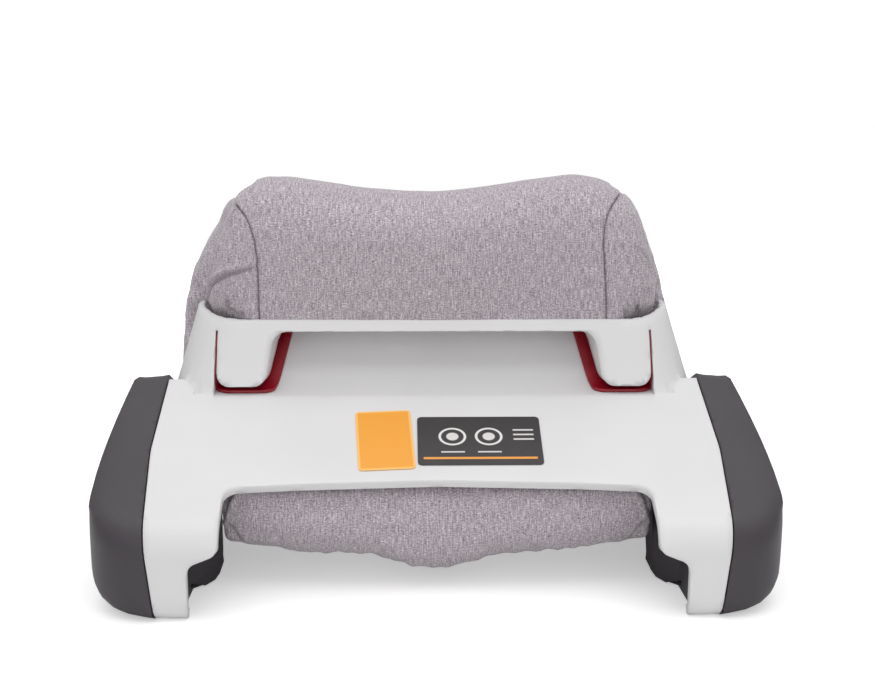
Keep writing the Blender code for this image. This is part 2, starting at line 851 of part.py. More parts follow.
def cover_profile():
    """Closed side view of a side cover, front and slope first, with places where the white panel ends."""
    slope_end = wing_back_y()
    corners = [(cover_rear_foot_y, 0, cover_rear_round, 3), (foot_under_y + 2 * fit_gap, 0, 0, 1),
               (foot_under_y + fit_gap, 0, 0, 1), (0, 0, foot_round, 4), (0, leg_bulge_height / 2, 0, 1),
               (0, leg_bulge_height * 3 / 4, 0, 1), (0, toe_top_z, toe_round, 5),
               (slope_bulge_y / 2, slope_z(slope_bulge_y / 2), 0, 1),
               (slope_bulge_y * 3 / 4, slope_z(slope_bulge_y * 3 / 4), 0, 1),
               (slope_bulge_y, slope_z(slope_bulge_y), 0, 1),
               ((slope_bulge_y + crease_y) / 2, slope_z((slope_bulge_y + crease_y) / 2), 0, 1),
               (crease_y, slope_z(crease_y), 0, 1),
               (slope_end, slope_z(slope_end), 0, 1),
               (slope_end + shell_wall, slope_z(slope_end), 0, 1),
               (cover_rear_y, cover_rear_top_z, cover_top_round, 3)]
    return rounded(corners)


def beyond_foot(y, z):
    return z < foot_round / 4 and y > foot_under_y + fit_gap * 3 / 2


def white_edge(y, z):
    """Half width of the white parts beside a point of the cover's profile."""
    if y > wing_back_y() + shell_wall / 2 or beyond_foot(y, z):
        return body_half_base + 3 * fit_gap
    line = panel_line()
    half = 0.0
    outline = panel_outline(line)
    place = min(line.nearest(y, z), line.place_at_y(wing_top_y) - fit_gap)
    for (ax, ap), (bx, bp) in zip(outline, outline[1:]):
        if min(ap, bp) <= place <= max(ap, bp) and bp != ap:
            half = max(half, ax + (bx - ax) * (place - ap) / (bp - ap))
    return half + 2 * fit_gap


def profile_normals(points):
    normals = []
    count = len(points)
    for k in range(count):
        (ay, az), (by, bz) = points[k - 1], points[(k + 1) % count]
        size = math.hypot(by - ay, bz - az)
        normals.append(((bz - az) / size, -(by - ay) / size))
    area = sum(points[k - 1][0] * points[k][1] - points[k][0] * points[k - 1][1] for k in range(count))
    return normals if area > 0 else [(-ny, -nz) for ny, nz in normals]


def cover_outer_x(y):
    behind = max(0.0, y - widest_y) / (cover_rear_y - widest_y)
    return half_width - cover_flare * behind ** flare_power


def squircle(t, power):
    return 1 - max(0.0, 1 - t ** power) ** (1 / power)


def dome_ring(profile, normals, side, t, inset, start=None):
    """Ring of the outer flank: t goes from the white edge (0) to the widest place (1)."""
    front = cover_front_sweep * squircle(t, front_sweep_power)
    rear = cover_rear_sweep * squircle(t, rear_sweep_power)
    low = cover_bottom_lift * squircle(t, bottom_lift_power)
    high = cover_top_drop * squircle(t, top_drop_power)
    top_z = slope_z(wing_top_y)
    ring = []
    for (y, z), (ny, nz) in zip(profile, normals):
        inner_x = start(y) if start else white_edge(y, z)
        inset_y = y - ny * inset
        inset_z = z - nz * inset
        moved_y = inset_y + front * (1 - inset_y / cover_rear_y) - rear * inset_y / cover_rear_y
        moved_z = inset_z + low * (1 - inset_z / top_z) - high * inset_z / top_z
        x = inner_x + (cover_outer_x(moved_y) - inset - inner_x) * t
        ring.append((side * x, moved_y, moved_z))
    return ring


def flank_cap(ring, side, inset, levels):
    """Rings that close a flank, drawn to its middle along the flared side."""
    middle_y = sum(p[1] for p in ring) / len(ring)
    middle_z = sum(p[2] for p in ring) / len(ring)
    rings = []
    for share in levels:
        drawn = [(middle_y + (y - middle_y) * share, middle_z + (z - middle_z) * share) for _, y, z in ring]
        crown = fit_gap * (1 - share * share)
        rings.append([(side * (cover_outer_x(y) - inset + crown), y, z) for y, z in drawn])
    return rings


def seat_top(y):
    """Highest place of a cover under the panel and the upper body."""
    under_panel = slope_z(y) - flange_depth - fit_gap - seat_clearance
    return min(under_panel, body_base_z - fit_gap)


def seat_ring(profile, normals, side):
    """Ring under the white panel, up to its edge."""
    depth = flange_depth + fit_gap
    ring = []
    for (y, z), (ny, nz) in zip(profile, normals):
        down = 0.0 if beyond_foot(y, z) or y > wing_back_y() + shell_wall / 2 else depth
        moved_y = y - ny * down
        ring.append((side * (white_edge(y, z) - 2 * fit_gap), moved_y, min(z - nz * down, seat_top(moved_y))))
    return ring


def foot_ring(profile, side, x, front_y, rear_y, lift, under):
    """Ring of the inner wall: a side view drawn in to a stretch of the depth and kept below the seat."""
    ring = []
    for y, z in profile:
        moved_y = front_y + (rear_y - front_y) * y / cover_rear_y
        ring.append((side * x, moved_y, max(lift, min(z, seat_top(moved_y) - under))))
    return ring


def cover_skin(name, side, profile, normals, material):
    """Outside of a cover as one solid: nose and heel of the inner wall, seat under the panel, domed flank."""
    seat = seat_ring(profile, normals, side)
    inner = [(side * inner_wall_x, y, z) for x, y, z in seat]
    seat_view = [(y, z) for x, y, z in seat]
    rings = [foot_ring(profile, side, foot_nose_x, foot_nose_y - foot_nose_depth,
                       foot_nose_y + foot_nose_depth, foot_edge_lift, flange_depth),
             foot_ring(profile, side, foot_cheek_x, foot_cheek_front_y, foot_cheek_rear_y,
                       foot_edge_lift / 3, 4 * fit_gap),
             foot_ring(profile, side, foot_heel_x, foot_heel_front_y, foot_heel_rear_y, 0, 3 * fit_gap),
             foot_ring(seat_view, side, inner_wall_x - cover_wall / 3, inner_wall_front_y,
                       cover_rear_y, 0, 2 * fit_gap),
             inner, seat]
    rings += [dome_ring(profile, normals, side, t, 0.0) for t in flank_shares]
    rings += flank_cap(rings[-1], side, 0, flank_cap_shares)
    return add_object(name, loft(rings), material)


def core_start(y):
    """Half width where the space in the flank begins: behind the crease it stays clear of the upper body."""
    return body_half_base + cover_wall if y > crease_y else flank_core_x


def flank_core(name, side, profile, normals):
    """Space inside the domed flank."""
    edge = dome_ring(profile, normals, side, 0.0, cover_wall)
    lowered = [min(z, seat_top(y) - cover_wall) if at > crease_y else z
               for (at, _), (x, y, z) in zip(profile, edge)]
    near = flank_core_x - cover_wall
    rings = [[(side * near, y, low) for (x, y, z), low in zip(edge, lowered)]]
    rings.append([(side * (core_start(at) - fit_gap), y, low)
                  for (at, _), (x, y, z), low in zip(profile, edge, lowered)])
    rings += [dome_ring(profile, normals, side, t, cover_wall, start=core_start) for t in core_flank_shares]
    rings += flank_cap(rings[-1], side, cover_wall, core_cap_shares)
    return add_object(f"{name}_flank_core", loft(rings))


def wing_room(name, side):
    """Space between the inner wall and the flank, open under the panel."""
    wall_x = inner_wall_x + cover_wall
    inner_x = flank_core_x - cover_wall / 2
    rear_y = cover_rear_foot_y - cover_wall
    plan = [(wall_x, -overrun), (wall_x, inner_wall_front_y),
            (foot_cheek_x + cover_wall, foot_cheek_front_y + cover_wall / 2),
            (foot_nose_x + cover_wall, foot_nose_y),
            (foot_cheek_x + cover_wall, foot_cheek_rear_y), (foot_heel_x + cover_wall, foot_heel_rear_y),
            (wall_x, rear_y), (inner_x, rear_y), (inner_x, -overrun)]
    room = prism([(side * x, y) for x, y in plan], 2, cover_wall + 2 * fit_gap, crease_z + overrun)
    return add_object(f"{name}_room", room)


def side_cover(name, side, material):
    """Dark shroud of a wing: domed flank, underside and inner wall, with bosses for its two screws."""
    profile = cover_profile()
    normals = profile_normals(profile)
    cover = cover_skin(name, side, profile, normals, material)
    space = combine(flank_core(name, side, profile, normals), wing_room(name, side), "UNION")
    posts = ((foot_post_front_y, "front"), (foot_post_rear_y, "rear"))
    for y, at in posts:
        kept = rod(boss_radius, 2, (side * foot_post_x, y), -overrun, boss_height)
        combine(space, add_object(f"{name}_boss_{at}", kept), "DIFFERENCE")
    combine(cover, space, "DIFFERENCE")
    for y, at in posts:
        recess = rod(head_radius + fit_gap, 2, (side * foot_post_x, y), -overrun, head_recess)
        combine(cover, add_object(f"{name}_recess_{at}", recess), "DIFFERENCE")
        hole = rod(shank_radius + fit_gap, 2, (side * foot_post_x, y), head_recess / 2, boss_height + overrun,
                   hole_sides)
        combine(cover, add_object(f"{name}_hole_{at}", hole), "DIFFERENCE")
    return cover


def screw(name, axis, centre, seat, way, material):
    """Pan head screw: its head lies on the seat and its shank runs the given way along the axis."""
    def ring(radius, along):
        points = []
        for k in range(hole_sides):
            angle = 2 * math.pi * k / hole_sides
            spot = [centre[0] + radius * math.cos(angle), centre[1] + radius * math.sin(angle)]
            spot.insert(axis, along)
            points.append(tuple(spot))
        return points
    face = seat - way * fit_gap
    top = face - way * head_height
    tip = face + way * screw_length
    rings = [ring(head_radius * 3 / 4, top), ring(head_radius, top + way * head_height / 2),
             ring(head_radius, face), ring(shank_radius, face), ring(shank_radius, tip - way * shank_radius),
             ring(shank_radius / 3, tip)]
    return add_object(name, loft(rings), material)


def carrier_plate(material):
    step_round = plate_corner / 3
    half = [(plate_half_low, plate_bottom_z, plate_corner, 4), (plate_half_low, plate_step_z, step_round, 2),
            (plate_half, plate_step_z, step_round, 2), (plate_half, plate_top_z, plate_corner, 4)]
    corners = half + [(-x, z, radius, steps) for x, z, radius, steps in reversed(half)]
    low = body_back_y + fit_gap
    plate = add_object("carrier_plate", prism(rounded(corners), 1, low, low + plate_thickness), material)
    rib_x = core_half / 2
    for x, at in ((-rib_x, "left"), (0, "middle"), (rib_x, "right")):
        near, far = x - shell_wall / 2, x + shell_wall / 2
        foot, head = plate_bottom_z + plate_corner, plate_top_z - plate_corner
        rib = prism([(near, foot), (far, foot), (far, head), (near, head)], 1,
                    low + plate_thickness / 2, low + plate_thickness + rib_height)
        combine(plate, add_object(f"plate_rib_{at}", rib), "UNION")
    for side, end in ((-1, "left"), (1, "right")):
        for x, z, at in ((pillar_post_x, pillar_post_z, "pillar"), (core_post_x, core_post_z, "core")):
            hole = rod(shank_radius + fit_gap, 1, (side * x, z), low - overrun, low + overrun, hole_sides)
            combine(plate, add_object(f"plate_hole_{at}_{end}", hole), "DIFFERENCE")
    return plate


def foam_core(material):
    """Foam block under the panel and the channel, in front of the carrier plate."""
    off = shell_wall + core_clearance
    roof = lip_top_z - lip_height - core_clearance
    cove = cut_at_height(channel_line(rim_wall + core_clearance), roof)
    rise = crease_z - toe_top_z
    drop = off * math.hypot(crease_y, rise) / crease_y
    rear = body_back_y
    bend = crease_y - 2 * rim_wall
    outline = [(core_front_y, slope_z(core_front_y) - drop), (bend, slope_z(bend) - drop),
               (crease_y + off, body_base_z - core_clearance), *cove[1:], (rear, roof),
               (rear, core_rear_bottom_z), (core_front_y + core_clearance, core_bottom_z)]
    return add_object("foam_core", prism(outline, 0, -core_half, core_half), material)


def bolster_outline():
    """Front view of the bolster's top as (half width, height) pairs."""
    return [(0, bolster_mid_top_z), (bolster_peak_x, bolster_peak_top_z),
            (bolster_shoulder_x, bolster_shoulder_z), (bolster_low_x, bolster_low_z),
            (bolster_end_x, bolster_end_z)]


def bolster_top(x):
    return blend_line(bolster_outline(), abs(x))


def bolster_edge_x(z):
    """Half width of the bolster at a height beside its peak."""
    for (a, za), (b, zb) in zip(bolster_outline()[1:], bolster_outline()[2:]):
        if z >= zb:
            return a + (b - a) * (za - z) / (za - zb)
    return bolster_end_x


def blend_line(pairs, at):
    """Value from (place, value) pairs, smooth up to the second pair and straight after it."""
    if at <= pairs[1][0]:
        return blend_between(pairs[:2], at)
    for (a, va), (b, vb) in zip(pairs[1:], pairs[2:]):
        if at <= b:
            return va + (vb - va) * (at - a) / (b - a)
    return pairs[-1][1]


def round_points(count, share_a, share_b, offset):
    """Points round a unit oval; a share under one squares it off that way."""
    points = []
    for k in range(count):
        angle = 2 * math.pi * (k + offset) / count
        a, b = math.cos(angle), math.sin(angle)
        points.append((math.copysign(abs(a) ** share_a, a), math.copysign(abs(b) ** share_b, b)))
    return points


def bolster_ring(x):
    """Cross-section of the bolster: crowned all round and flat where it rests in the tray."""
    floor = lip_top_z - lip_height + tray_floor + fit_gap
    beyond = max(0.0, abs(x) - seam_x) / (bolster_end_x - seam_x)
    corner = corner_radius - rim_wall
    past = max(0.0, abs(x) - body_half(lip_top_z + rim_rise) + corner_radius)
    front = bolster_front_y + corner - math.sqrt(max(0.0, corner * corner - past * past))
    front += past * bolster_draw_share
    rear = bolster_rear_y - end_sweep * beyond * beyond
    top = bolster_top(x)
    bottom = floor - bolster_bottom_sink
    middle_y = (front + rear) / 2
    middle_z = (top + bottom) / 2
    ring = []
    for along, up in round_points(bolster_points, bolster_round_share, bolster_round_share, 0.5):
        ring.append((x, middle_y + (rear - front) / 2 * along,
                     max(middle_z + (top - bottom) / 2 * up, floor)))
    return ring


def bolster_pad(material):
    """Middle of the bolster between its two seams."""
    stations = [seam_x * (2 * k / bolster_stations - 1) for k in range(bolster_stations + 1)]
    return add_object("bolster_pad", loft([bolster_ring(x) for x in stations]), material, soft_angle)


def bolster_end(name, side, material):
    """Gathered gusset that closes the bolster at one end."""
    start = seam_x + fit_gap
    stations = [side * (start + (bolster_end_x - start) * share) for share in gusset_shares]
    return add_object(name, loft([bolster_ring(x) for x in stations]), material, soft_angle)


def side_pad(name, side, material):
    """Side panel of the cover behind the gusset, leaning in as it rises."""
    floor = lip_top_z - lip_height + tray_floor + fit_gap
    front = body_back_y + plate_thickness + head_height
    rings = []
    top_x = bolster_edge_x(side_pad_top_z) + side_pad_top_gap
    inner_pairs = [(floor, side_pad_inner), (side_pad_mid_z, side_pad_inner), (side_pad_top_z, top_x)]
    outer_pairs = [(floor, side_pad_low_out), (side_pad_mid_z, side_pad_mid_out),
                   (side_pad_top_z, top_x + side_pad_top_width)]
    for share in side_pad_shares:
        z = floor + (side_pad_top_z - floor) * share
        edge = (2 * share - 1) ** side_pad_bulge_power
        low_x = blend_line(inner_pairs, z)
        high_x = low_x + (blend_line(outer_pairs, z) - low_x) * (1 - side_pad_draw_share * edge)
        low_y = front + side_pad_corner * edge
        high_y = side_pad_rear_y - side_pad_corner * edge
        ring = []
        for across, along in round_points(side_pad_points, side_pad_round_share, side_pad_round_share, 0):
            x = (low_x + high_x) / 2 + (high_x - low_x) / 2 * across
            y = (low_y + high_y) / 2 + (high_y - low_y) / 2 * along
            ring.append((side * x, y, z))
        rings.append(ring)
    return add_object(name, loft(rings), material, soft_angle)


def chest_ring(x):
    """Cross-section of the chest pad: hollowed towards the child and arched over the thighs."""
    front = body_back_y + plate_thickness + head_height + 3 * fit_gap
    share = min(1.0, abs(x) / (chest_half - 2 * chest_corner))
    end = max(0.0, (abs(x) - chest_half + chest_corner) / chest_corner)
    rear = front + chest_mid_depth + (overall_depth - front - chest_mid_depth) * share * share
    round_end = squircle(end, 2)
    rear -= (rear - front) * chest_draw_share * round_end
    arch = blend_between([(0, 0), (1, 1)], (abs(x) - chest_arch_half) / chest_arch_run)
    low = chest_arch_z + (chest_bottom_z - chest_arch_z) * arch + chest_corner * round_end
    high = lip_top_z - lip_height + tray_floor - fit_gap - chest_corner * round_end
    ring = []
    for along, up in round_points(chest_points, chest_depth_share, chest_height_share, 0.5):
        ring.append((x, (front + rear) / 2 + (rear - front) / 2 * along,
                     (low + high) / 2 + (high - low) / 2 * up))
    return ring


def chest_pad(material):
    inner = chest_half - chest_corner
    stations = [inner * share for share in chest_inner_shares]
    stations += [inner + chest_corner * share for share in chest_end_shares]
    stations = [-x for x in reversed(stations[1:])] + stations
    return add_object("chest_pad", loft([chest_ring(x) for x in stations]), material, soft_angle)


def apron_bottom(x):
    pairs = [(0, apron_mid_z), (apron_inner_x, apron_inner_z), (apron_outer_x, apron_outer_z),
             (apron_half, apron_end_z)]
    return blend_line(pairs, abs(x))


def apron_ring(x):
    """Cross-section of the apron.

    It goes down behind the panel edge, round the front of the foam and back under it.
    """
    low = apron_bottom(x)
    end = abs(x) / apron_half
    swell = apron_bulge * (1 - end ** apron_swell_power)
    front = apron_front_y - swell
    rear = body_back_y - fit_gap
    corners = [(apron_top_y, apron_top_z, 0, 1), (front, (apron_top_z + low) / 2, overrun, 3),
               (front + apron_bulge, low, apron_turn, 5), (rear, apron_rear_z, 0, 1),
               (rear, apron_rear_z + apron_thickness, 0, 1),
               (front + apron_bulge + apron_thickness, low + apron_thickness, apron_thickness, 3),
               (apron_top_y + apron_thickness, apron_top_z - apron_thickness / 3, 0, 1)]
    return [(x, y, z) for y, z in rounded(corners)]


def lower_apron(material):
    stations = [apron_half * (2 * k / apron_stations - 1) for k in range(apron_stations + 1)]
    return add_object("lower_apron", loft([apron_ring(x) for x in stations]), material, soft_angle)


def sticker(name, line, width, length, x, y, turn, material):
    middle = line.place_at_y(y)
    corners = [(-width / 2, -length / 2), (width / 2, -length / 2),
               (width / 2, length / 2), (-width / 2, length / 2)]
    c, s = math.cos(math.radians(turn)), math.sin(math.radians(turn))
    turned = [(x + c * a - s * b, middle + s * a + c * b, sticker_corner, 3) for a, b in corners]
    layers = [(0, fit_gap + sticker_thickness), (0, fit_gap)]
    return formed_slab(name, rounded(turned), line, layers, material)


def main():
    clear_scene()
    frame = bpy.data.objects.new("shield_frame", None)
    bpy.context.collection.objects.link(frame)
    frame.location = (0, -overall_depth / 2, 0)
    white = make_material("white_abs", white_plastic, satin_share)
    red = make_material("red_nylon", red_plastic, polished_share)
    dark = make_material("dark_pp", dark_plastic, grained_share)
    fabric = make_material("heather_cover", heather_fabric, cloth_share)
    foam = make_material("bead_foam", foam_grey, foam_share)
    carrier = make_material("carrier_plastic", carrier_grey, plain_share)
    steel = make_material("screw_steel", screw_steel, plated_share, 1.0)
    orange = make_material("orange_film", orange_film, film_share)
    black = make_material("dark_film", dark_film, laminate_share)
    line = panel_line()
    front_shell(line, white)
    for side, end in ((-1, "left"), (1, "right")):
        belt_guide(f"belt_guide_{end}", side, red)
        side_cover(f"side_cover_{end}", side, dark)
        bolster_end(f"bolster_end_{end}", side, fabric)
        side_pad(f"side_pad_{end}", side, fabric)
        for y, at in ((foot_post_front_y, "front"), (foot_post_rear_y, "rear")):
            screw(f"cover_screw_{at}_{end}", 2, (side * foot_post_x, y), head_recess, 1, steel)
        rear_face = body_back_y + fit_gap + plate_thickness
        for x, z, at in ((pillar_post_x, pillar_post_z, "upper"), (core_post_x, core_post_z, "lower")):
            screw(f"plate_screw_{at}_{end}", 1, (side * x, z), rear_face, -1, steel)
    carrier_plate(carrier)
    foam_core(foam)
    bolster_pad(fabric)
    chest_pad(fabric)
    lower_apron(fabric)
    sticker("orange_sticker", line, orange_width, orange_length, orange_x, orange_y, orange_turn, orange)
    sticker("dark_sticker", line, dark_width, dark_length, dark_x, dark_y, dark_turn, black)


main()
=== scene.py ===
"""Looks of the impact shield: padded textile cover, moulded plastics, stickers, studio floor and lights.

Lengths are in metres, in the row frame: X across the shield, Y back from the front, Z up from the floor.
"""
import math

import bmesh
import bpy
from mathutils import Matrix, Vector, noise


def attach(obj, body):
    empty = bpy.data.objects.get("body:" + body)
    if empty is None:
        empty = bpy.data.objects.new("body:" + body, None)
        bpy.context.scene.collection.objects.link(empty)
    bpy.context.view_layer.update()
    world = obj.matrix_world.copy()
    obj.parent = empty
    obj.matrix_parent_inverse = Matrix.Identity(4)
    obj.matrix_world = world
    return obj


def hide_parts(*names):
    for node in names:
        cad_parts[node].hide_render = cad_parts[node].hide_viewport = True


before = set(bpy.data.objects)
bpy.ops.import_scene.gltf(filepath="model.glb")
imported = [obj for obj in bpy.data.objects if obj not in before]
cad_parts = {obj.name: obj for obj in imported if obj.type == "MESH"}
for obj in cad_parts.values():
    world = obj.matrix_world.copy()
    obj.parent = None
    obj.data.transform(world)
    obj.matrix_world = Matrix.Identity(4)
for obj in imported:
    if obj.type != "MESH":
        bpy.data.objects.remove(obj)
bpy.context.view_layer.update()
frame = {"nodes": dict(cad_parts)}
bpy.ops.object.select_all(action="DESELECT")

# Foam under its cover: mesh size, pressure, and how far the cloth may move from the foam
pad_voxel = 0.0056
pad_pressure = 4.0
pad_shrink = 0.0012
pad_limit = 0.0050
pad_rounds = 4
apron_voxel = 0.0035
apron_shrink = 0.0008
apron_limit = 0.0030
apron_rounds = 3
inflate_frames = 20
regrow_share = 0.7
side_fullness = 0.0026
thread_width = 0.0008
merge_distance = 0.000005

# Soft unevenness, as size, depth and seed
foam_swell = ((0.030, 0.030, 0.030), 0.0007, 3.0)
gusset_crumple = ((0.012, 0.012, 0.018), 0.0006, 9.0)
gusset_crumple_x = (0.12, 0.14)
apron_crumple = ((0.02, 0.03, 0.02), 0.0008, 5.0)

# Front of the cover against the rim of the tray, as height and push
rim_fill = [(0.160, 0.010), (0.166, 0.0150), (0.172, 0.0092), (0.178, 0.0056), (0.184, 0.0032),
            (0.190, 0.0017), (0.205, 0.0)]
rim_fill_y = 0.067
rim_fill_depth = 0.035
rim_corner_x = (0.128, 0.160)

# Cover drawn back from the rim at the rounded corners of the tray
tuck_x = (0.132, 0.150)
tuck_z = (0.168, 0.190)
tuck_floor_z = 0.155
tuck_inward = 0.0012
tuck_back = 0.0030

# Side panels: where their shaping starts, and their half width by height
side_start = (0.130, 0.045, 0.110)
side_full_y = 0.075
side_trim_y = 0.055
side_rise_z = (0.145, 0.160)
side_rear_y = 0.058
side_push_limit = 0.014
side_least_width = 0.006
slice_start = 0.108
slice_height = 0.0045
slice_count = 36
side_loose = dict(least_x=0.134, least_z=0.175, front=0.050)
side_loose_rounds = 10
rear_loose = dict(least_x=0.130, least_z=0.172, front=0.067)
rear_loose_rounds = 14
side_lean = {
    -1: [(0.110, 0.1955), (0.150, 0.1915), (0.173, 0.1880), (0.182, 0.1860), (0.199, 0.1815),
         (0.2165, 0.1728), (0.2356, 0.1612), (0.2475, 0.1540), (0.2535, 0.1450), (0.262, 0.1300)],
    1: [(0.110, 0.1955), (0.130, 0.1900), (0.156, 0.1838), (0.1735, 0.1790), (0.192, 0.1747),
        (0.207, 0.1700), (0.223, 0.1640), (0.237, 0.1572), (0.250, 0.1485), (0.257, 0.1390),
        (0.264, 0.1280)],
}

# Extra height of the stuffed bolster, as place across the shield and rise
bolster_rise = [(-0.160, 0.0055), (-0.150, 0.0072), (-0.141, 0.0088), (-0.132, 0.0085), (-0.1235, 0.0062),
                (-0.115, 0.0036), (-0.106, 0.0022), (-0.097, 0.0014), (-0.080, 0.0010), (-0.060, 0.0008),
                (-0.050, 0.0014), (-0.035, 0.0026), (0.0, 0.0032), (0.020, 0.0038), (0.045, 0.0042),
                (0.070, 0.0040), (0.090, 0.0038), (0.113, 0.0040), (0.122, 0.0047), (0.131, 0.0064),
                (0.140, 0.0072), (0.148, 0.0076), (0.160, 0.0065)]
bolster_rise_z = (0.205, 0.243)

# Bolster seams: their half width by height, and how the cloth is drawn in along them
seam_curve = {
    -1: [(0.165, 0.1260), (0.2115, 0.1263), (0.2257, 0.1284), (0.2360, 0.1318), (0.2415, 0.1350),
         (0.2458, 0.1388), (0.2490, 0.1430), (0.2520, 0.1500), (0.2550, 0.1600)],
    1: [(0.165, 0.1250), (0.190, 0.1235), (0.2257, 0.1210), (0.2360, 0.1222), (0.2430, 0.1242),
        (0.2500, 0.1285), (0.2545, 0.1335), (0.2585, 0.1400), (0.2620, 0.1500)],
}
seam_x = 0.1250
seam_start = 0.060
seam_depth = 0.0022
seam_width = 0.0016
seam_reach = 4
seam_sharpness = 1.3
# width of the painted shade line along each seam
seam_shade = 0.0011
seam_rings = (-0.0045, -0.0024, -0.0011, -0.0005, 0.0, 0.0005, 0.0011, 0.0024, 0.0045)
body_parting = 0.1634
parting_margin = 0.004

# Folds: how far they reach in widths, their lip, how they fade at the ends, and where the mesh is finer
fold_reach = 5
lip_place = 2
lip_width = 1.4
fade_start, fade_run, fade_power = 0.07, 0.86, 0.6
line_parts = 4
line_reach = 0.12
folded_part = dict(least_x=0.122, least_z=0.160, rear=0.068)
# widths of the painted shade along the gusset folds and along the apron tucks
fold_shade = 0.0011
tuck_shade = 0.0014

# Fold lines on the gussets; over points to the side whose lip lies over the other
left_gusset_folds = [
    dict(line=[(-0.1395, 0.0320, 0.2451), (-0.1456, 0.0325, 0.2342), (-0.1517, 0.0328, 0.2218),
               (-0.1590, 0.0365, 0.2097), (-0.1663, 0.0510, 0.1979), (-0.1701, 0.0551, 0.1897),
               (-0.1714, 0.0578, 0.1825), (-0.1692, 0.0565, 0.1759)],
         width=0.0014, depth=0.0042, lip=0.0022, over=(1.0, 0.0, -0.4)),
    dict(line=[(-0.1307, 0.0212, 0.2061), (-0.1360, 0.0235, 0.2043), (-0.1427, 0.0249, 0.2019),
               (-0.1503, 0.0273, 0.1979), (-0.1575, 0.0323, 0.1927), (-0.1627, 0.0377, 0.1866),
               (-0.1657, 0.0475, 0.1798), (-0.1638, 0.0434, 0.1760)],
         width=0.0014, depth=0.0042, lip=0.0028, over=(0.0, 0.0, 1.0)),
]
right_gusset_folds = [
    dict(line=[(0.1433, 0.0230, 0.2209), (0.1492, 0.0264, 0.2139), (0.1562, 0.0316, 0.2058),
               (0.1630, 0.0389, 0.1973), (0.1705, 0.0578, 0.1875)],
         width=0.0013, depth=0.0022, lip=0.0012, over=(-1.0, 0.0, -0.6)),
    dict(line=[(0.1504, 0.0389, 0.2415), (0.1549, 0.0364, 0.2264), (0.1606, 0.0410, 0.2111),
               (0.1683, 0.0556, 0.1939), (0.1746, 0.0663, 0.1799)],
         width=0.0014, depth=0.0016, lip=0.0008, over=(-1.0, 0.0, -0.4)),
]
rim_gathers = [
    dict(line=[(-0.1477, 0.0261, 0.1827), (-0.1488, 0.0288, 0.1786), (-0.1477, 0.0309, 0.1738)],
         width=0.0013, depth=0.0040),
    dict(line=[(-0.1440, 0.0285, 0.1765), (-0.1411, 0.0292, 0.1726)], width=0.0013, depth=0.0036),
    dict(line=[(-0.1347, 0.0249, 0.1748), (-0.1365, 0.0250, 0.1715)], width=0.0013, depth=0.0034),
    dict(line=[(0.1350, 0.0240, 0.1765), (0.1365, 0.0254, 0.1736), (0.1360, 0.0268, 0.1700)],
         width=0.0013, depth=0.0038),
    dict(line=[(0.1455, 0.0305, 0.1790), (0.1466, 0.0318, 0.1755), (0.1475, 0.0343, 0.1705)],
         width=0.0013, depth=0.0036),
    dict(line=[(0.1602, 0.0398, 0.1775), (0.1575, 0.0400, 0.1735)], width=0.0013, depth=0.0024),
]

# Apron: tucks at its right end, mirrored to the left, and its hem by half width and height
apron_tucks = [
    dict(line=[(0.1345, -0.0790, 0.0735), (0.1385, -0.0795, 0.0660), (0.1408, -0.0792, 0.0580),
               (0.1425, -0.0780, 0.0510)], width=0.0017, depth=0.0034, lip=0.0018),
    dict(line=[(0.1400, -0.0785, 0.0480), (0.1360, -0.0790, 0.0420), (0.1330, -0.0770, 0.0350)],
         width=0.0017, depth=0.0026, lip=0.0010),
]
hem_line = [(0.0, 0.0110), (0.03, 0.0160), (0.06, 0.0215), (0.113, 0.0285), (0.145, 0.036)]
hem_rear_y = -0.045
hem_band = 0.006
hem_gather_size = (0.0080, 0.030)
hem_gather_depth = 0.0018
hem_swell_size = (0.0260, 0.040)
hem_swell_depth = 0.0010
hem_seeds = (4.0, 9.0)

# Belt guides: the half that faces the middle of the shield is trimmed towards its edge
guide_middle = 0.1250
guide_half = 0.010
guide_trim = 0.0016

# Mouldings: facets are cut to this length and eased up to edges of this angle
facet_length = 0.007
guide_facet_length = 0.006
facet_passes = 6
facet_rounds = 5
guide_facet_rounds = 2
sharp_angle = 0.45
open_edge_angle = 9.0
smooth_degrees = 38
normal_weight = 60

# Prints: soft edge, colour sockets of a mix, slope of the panel under them, and their marks
print_edge = 0.00025
mix_below, mix_above, mix_result = 6, 7, 2
panel_slope_share = 0.91
orange_middle = (-0.0353, -0.0507)
orange_turn = 3.4
orange_field = (0.0355, 0.0600)
film_reach = (1.0, 1.0)
dark_middle_y = -0.0517
ring_places = (0.011, 0.036)
ring_height = 0.004
ring_radius = 0.0095
ring_hole_radius = 0.0078
dot_radius = 0.0042
text_bars_x = 0.0600
text_bar_heights = (0.011, 0.006, 0.001)
text_bar = (0.014, 0.0016)
underline_height = -0.0125
underline = (0.016, 0.0014)
stripe_place = (0.0295, -0.0190)
stripe = (0.077, 0.0022)

# Studio: place, aim, size and power of each soft light, then floor and tent
softboxes = {
    "top_softbox": ((0.0, -0.25, 1.9), (0, 0, 0.1), (2.2, 1.8), 13.0),
    "front_fill": ((0.0, -2.4, 0.9), (0, 0, 0.12), (2.4, 1.4), 10.0),
}
floor_side = 3.0
floor_grey = 0.86
floor_white_from, floor_white_to = 0.40, 1.10
floor_lift = 0.42
tent_horizon, tent_overhead, tent_top = 0.30, 0.80, 0.8

# Camera: place in metres, angles in degrees, lens and sensor in millimetres
camera_place = (-0.025, -0.976, 0.357)
camera_elevation = 12.0
camera_azimuth = -1.58
camera_roll = 0.2
camera_lens = 57.6
camera_sensor = 36.0


def linear(code):
    """Linear colour from an sRGB hex code."""
    parts = [int(code[k:k + 2], 16) / 255 for k in (0, 2, 4)]
    return tuple(c / 12.92 if c <= 0.04045 else ((c + 0.055) / 1.055) ** 2.4 for c in parts) + (1.0,)


